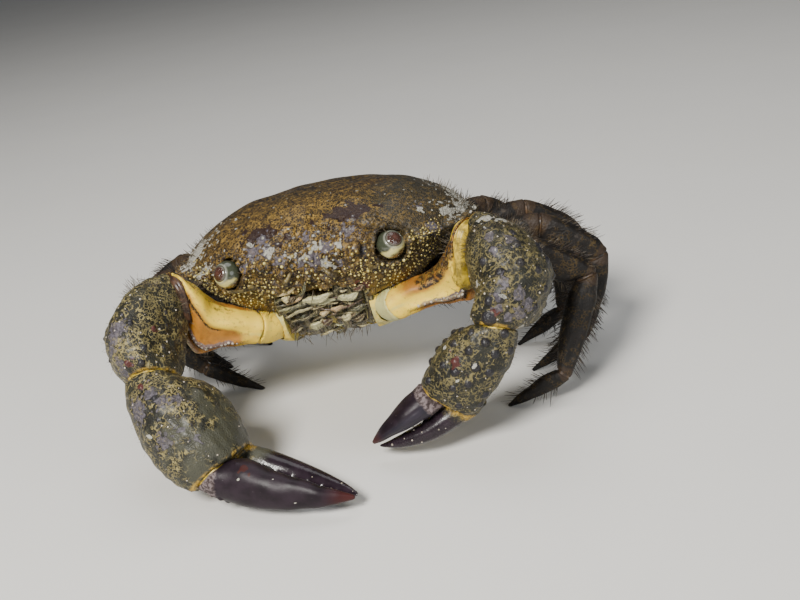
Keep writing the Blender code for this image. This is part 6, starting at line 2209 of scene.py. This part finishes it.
class CRAB_OT_bristles(CrabOperator, bpy.types.Operator):
    """Grows short bristles on the legs, arms, cheeks and mouthparts"""

    bl_idname = "crab.bristles"
    bl_label = "Bristles"

    def build(self):
        self.legs()
        self.arms()
        self.mouth(self.face())

    def grow(self, name, finish, roots, ways, dims, patches, tall, slot, bend=5.0, wide=None):
        """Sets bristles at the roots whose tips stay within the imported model's box."""
        low, high = STORE["box"]
        ways = ways / np.linalg.norm(ways, axis=1)[:, None]
        reach = (dims * tall * 1.6)[:, None]
        ends = roots + ways * reach
        kept = ((ends > low + 0.1 + reach * 0.4) & (ends < high - 0.1 - reach * 0.4)).all(1)
        roots, ways, dims, patches = roots[kept], ways[kept], dims[kept], patches[kept]
        scattered(
            name, bristle_pattern(name, finish_of(finish)), roots, ways, dims,
            {"Width": (wide or sizes().bristle) * MM, "Height": tall * MM, "Unevenness": 0.45, "Bend": bend},
            slot, patches,
        )

    def tile(self, order, columns, rows, turn, at):
        """Places on the flat map for roots at this angle and share of their piece."""
        column, row = order % columns, order // columns
        across = (column + 0.04 + 0.92 * (turn / TAU % 1)) / columns
        return np.column_stack([across, (row + 0.04 + 0.92 * at) / rows])

    def legs(self):
        grown = []
        chance = np.random.default_rng(91)
        for node, stored in STORE.items():
            if not node.startswith("leg_"):
                continue
            clay, segment = stored
            order = len(grown)
            at, turn = segment.local(clay.points)
            ridge = near(np.abs(np.sin(turn)), 0.93, 0.12)
            weight = (0.05 + 0.5 * ridge) * ease(at, 0.12, 0.25) * (1 - ease(at, 0.9, 0.97))
            chosen = clay.scatter(weight * 0.7, 0.40, LEG_BRISTLES[node.rsplit("_", 1)[1]], 92 + order)
            out = clay.out[chosen]
            ways = out + unit(segment.axis) * 0.75 + chance.normal(0, 0.15, out.shape)
            dims = chance.uniform(0.5, 1.25, len(chosen)) * np.clip(0.55 + ridge[chosen], 0, 1.2)
            patches = self.tile(order, 8, 4, turn[chosen], at[chosen])
            grown.append((clay.points[chosen], ways, dims, patches))
        grown = [np.concatenate(each) for each in zip(*grown)]
        pale = chance.random(len(grown[0])) < PALE_SHARE
        for kind, kept in (("pale", pale), ("dark", ~pale)):
            self.grow(
                f"leg_bristles_{kind}", f"{kind}_bristle", *(each[kept] for each in grown),
                sizes().leg_bristle, "leg",
            )

    def arms(self):
        grown = []
        chance = np.random.default_rng(95)
        for side in (RIGHT, LEFT):
            _, merus, carpus, wrist_face = arm_segments(side)
            segments = {"merus": merus, "carpus": carpus, "palm": claw_segments(side, wrist_face)[0]}
            for piece, low, high, count, tall in ARM_BRISTLES:
                clay, segment = STORE[f"claw_{SIDE_NAMES[side]}_{piece}"], segments[piece]
                order = len(grown)
                at, turn = segment.local(clay.points)
                weight = ease(at, low - 0.02, low + 0.02) * (1 - ease(at, high - 0.02, high + 0.02))
                if piece == "merus" and low < 0.5:
                    weight = weight * near(np.sin(turn), CREST, 0.14) * ease(-np.cos(turn), 0, 0.5)
                chosen = clay.scatter(weight * 0.4, 0.4, count, 96 + order)
                out = clay.out[chosen]
                ways = out + segment.axis * chance.uniform(-0.5, 0.4, (len(chosen), 1))
                ways = ways + chance.normal(0, 0.25, out.shape)
                dims = chance.uniform(0.5, 1.2, len(chosen)) * tall
                patches = self.tile(order, 4, 3, turn[chosen], at[chosen])
                grown.append((clay.points[chosen], ways, dims, patches))
        grown = [np.concatenate(each) for each in zip(*grown)]
        self.grow("arm_bristles", "pale_bristle", *grown, 1.7, "shell", 5.0, 0.028)

    def face(self):
        clay = STORE["carapace"]
        x, y, z = clay.points.T
        chance = np.random.default_rng(97)
        low_edge = near(z, -11.0, 1.3) * ease(-y, -6.0, 2.0) * ease(np.abs(x), 11.0, 14.0)
        cheek = ease(-z, 1.0, 3.0) * ease(-y, 0.0, 6.0) * ease(np.abs(x), 20.0, 24.0) * 0.12
        rims = [near(from_orbit(clay.points, side) - ORBIT_RADIUS, 1.1, 0.5) for side in (RIGHT, LEFT)]
        rim = np.max(rims, axis=0) * ease(-y, 20, 23)
        corner = spots(clay.points, PALE_ON_SHELL[4:11], 0.6)
        back = ease(np.abs(x), 26, 34) * ease(z, -1.0, 1.0)
        angle = np.arctan2(x, -(y - DOME_PEAK_Y))
        reach = np.hypot(x, y - DOME_PEAK_Y) / 42
        depth = np.where(z > 0.5, 0.45 * reach, 0.5 + 0.45 * np.clip(-z / 14, 0, 1))
        flat = np.column_stack([0.5 + angle / TAU * 0.96, np.clip(depth, 0.01, 0.99)])
        for name, weight, count, spacing, tall, kind, seed in (
            ("cheek_bristles", low_edge * 0.8 + cheek, 900, 0.35, 1.1, "dark", 98),
            ("orbit_bristles", rim * 0.4, 120, 0.45, 1.3, "pale", 99),
            ("brow_hairs", rim * ease(z, 2.2, 3.4) * ease(x, 14.0, 18.0) * 0.3, 46, 0.5, 2.9, "pale", 102),
            ("corner_bristles", corner * 0.35, 320, 0.5, 1.1, "pale", 100),
            ("back_bristles", back * 0.05, 200, 0.6, 0.8, "pale", 101),
        ):
            chosen = clay.scatter(weight, spacing, count, seed)
            out = clay.out[chosen]
            droop = np.array([0, -0.35, -0.35 if "cheek" in name else 0.2])
            ways = body_ways(out + chance.normal(0, 0.3, out.shape) + droop)
            dims = chance.uniform(0.5, 1.2, len(chosen))
            self.grow(
                name, f"{kind}_bristle", in_body(clay.points[chosen]), ways, dims, flat[chosen], tall,
                "shell", 4.0, 0.030,
            )
        return chance

    def mouth(self, chance):
        places, ways, flats = [], [], []
        down, out = mouth_frame()
        for _ in range(MOUTH_BRISTLES):
            a = chance.uniform(-11.0, 11.0)
            d = chance.choice([chance.uniform(10, 18), chance.uniform(-1, 10)])
            places.append(in_mouth(a, d, 1.0 + 1.2 * math.cos(a / 9)))
            ways.append(out * 0.7 + down * chance.uniform(0.2, 1.0) + np.array([chance.normal(0, 0.4), 0, 0]))
            flats.append((0.5 + a / 24, 0.5 + d / 44))
        dims = chance.uniform(0.5, 1.2, len(places))
        self.grow(
            "mouth_bristles", "pale_bristle", in_body(places), body_ways(ways), dims, np.array(flats), 1.3,
            "mouthparts", 6.0, 0.024,
        )


class CRAB_OT_arm_beads(CrabOperator, bpy.types.Operator):
    """Sets a row of small beads along each arm's crest and scatters more over the carpi and palms"""

    bl_idname = "crab.arm_beads"
    bl_label = "Arm beads"

    def build(self):
        grown = []
        chance = np.random.default_rng(111)

        def add(clay, weight, spacing, count, seed, low, high):
            chosen = clay.scatter(weight, spacing, count, seed)
            grown.append((clay.points[chosen], clay.out[chosen], chance.uniform(low, high, len(chosen))))

        for side in (RIGHT, LEFT):
            prefix = f"claw_{SIDE_NAMES[side]}"
            clay = STORE[f"{prefix}_merus"]
            at, turn = arm_segments(side)[1].local(clay.points)
            row = near(np.sin(turn), CREST, 0.05) * ease(-np.cos(turn), 0.1, 0.4)
            row = row * ease(at, 0.15, 0.25) * (1 - ease(at, 0.93, 0.97))
            add(clay, row, 0.85, 60, 112 + side, 0.8, 1.3)
            for piece, count in (("carpus", 110), ("palm", 90)):
                clay = STORE[f"{prefix}_{piece}"]
                add(clay, 0.02 * (1 - clay.masks["wart"]), 1.6, count, 115 + side, 0.35, 0.75)
        places, ways, dims = (np.concatenate(each) for each in zip(*grown))
        scattered(
            "arm_beads", bead_pattern("arm_beads", finish_of("arm_bead")), places, ways, dims,
            {"Width": 0.36 * MM, "Height": 0.26 * MM, "Unevenness": 0.3}, "shell",
        )


class CRAB_OT_stage(CrabOperator, bpy.types.Operator):
    """Sets the floor, the soft studio lights and the camera"""

    bl_idname = "crab.stage"
    bl_label = "Stage"

    def build(self):
        mesh = bpy.data.meshes.new("floor")
        corners = [(a * FLOOR_REACH, b * FLOOR_REACH, 0) for a, b in ((-1, -1), (1, -1), (1, 1), (-1, 1))]
        mesh.from_pydata(corners, [], [(0, 1, 2, 3)])
        paint = Paint("floor")
        mesh.materials.append(paint.finish(paint.mix(paint.noise(60.0), *FLOOR_SHADES), 0.8))
        floor = linked("floor", mesh)
        floor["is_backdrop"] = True
        self.lights()
        self.camera()

    def lights(self):
        world = bpy.data.worlds.new("studio")
        bpy.context.scene.world = world
        world.use_nodes = True
        background = world.node_tree.nodes["Background"].inputs
        background["Color"].default_value = (*SKY, 1.0)
        background["Strength"].default_value = SKY_STRENGTH
        for name, stand, size, watts, tint in LIGHTS:
            light = bpy.data.lights.new(name, "AREA")
            light.shape, light.size, light.energy, light.color = "DISK", size, watts, tint
            lamp = linked(name, light)
            lamp.location = stand
            way = Vector(LIT_POINT) - Vector(stand)
            lamp.rotation_euler = way.to_track_quat("-Z", "Y").to_euler()

    def camera(self):
        azimuth, height, roll = CAMERA_AZIMUTH, CAMERA_HEIGHT_ANGLE, CAMERA_ROLL
        back = Vector((
            math.sin(azimuth) * math.cos(height), -math.cos(azimuth) * math.cos(height), math.sin(height)
        ))
        right = Vector((math.cos(azimuth), math.sin(azimuth), 0))
        up = back.cross(right)
        across = right * math.cos(roll) - up * math.sin(roll)
        along = right * math.sin(roll) + up * math.cos(roll)
        lens = bpy.data.cameras.new("camera")
        lens.lens, lens.sensor_width = CAMERA_LENS, SENSOR_WIDTH
        lens.clip_start, lens.clip_end = 0.01, 20.0
        camera = linked("camera", lens)
        turn = Matrix((across, along, back)).transposed().to_4x4()
        camera.matrix_world = Matrix.Translation(CAMERA_AT) @ turn
        bpy.context.scene.camera = camera


OPERATORS = (
    CRAB_OT_carapace, CRAB_OT_shell_beads, CRAB_OT_eyes, CRAB_OT_mouthparts, CRAB_OT_feelers,
    CRAB_OT_claw_arms, CRAB_OT_hands, CRAB_OT_walking_legs, CRAB_OT_joint_skins, CRAB_OT_underside,
    CRAB_OT_arm_beads, CRAB_OT_bristles, CRAB_OT_stage,
)


class CRAB_PT_panel(bpy.types.Panel):
    """Lists the crab's pieces, sizes and colours"""

    bl_idname = "CRAB_PT_panel"
    bl_label = "Warty crab"
    bl_space_type = "VIEW_3D"
    bl_region_type = "UI"
    bl_category = "Crab"

    def draw(self, context):
        for operator in OPERATORS:
            self.layout.operator(operator.bl_idname)
        for group in (context.scene.crab_sizes, context.scene.crab_colours):
            box = self.layout.box()
            for name in group.__annotations__:
                box.prop(group, name)


CLASSES = (CrabSizes, CrabColours, *OPERATORS, CRAB_PT_panel)


def register():
    for each in CLASSES:
        bpy.utils.register_class(each)
    bpy.types.Scene.crab_sizes = bpy.props.PointerProperty(type=CrabSizes)
    bpy.types.Scene.crab_colours = bpy.props.PointerProperty(type=CrabColours)


def unregister():
    del bpy.types.Scene.crab_colours
    del bpy.types.Scene.crab_sizes
    for each in reversed(CLASSES):
        bpy.utils.unregister_class(each)


def main():
    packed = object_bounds()
    STORE["box"] = [np.array(corner) / MM - np.array(ORIGIN_SHIFT) for corner in packed]
    register()
    for operator in OPERATORS:
        group, name = operator.bl_idname.split(".")
        getattr(getattr(bpy.ops, group), name)()
    boxes = {"cad": packed, "visual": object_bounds()}
    {name: [list(corner) for corner in box] for name, box in boxes.items()}


if __name__ == "__main__":
    main()
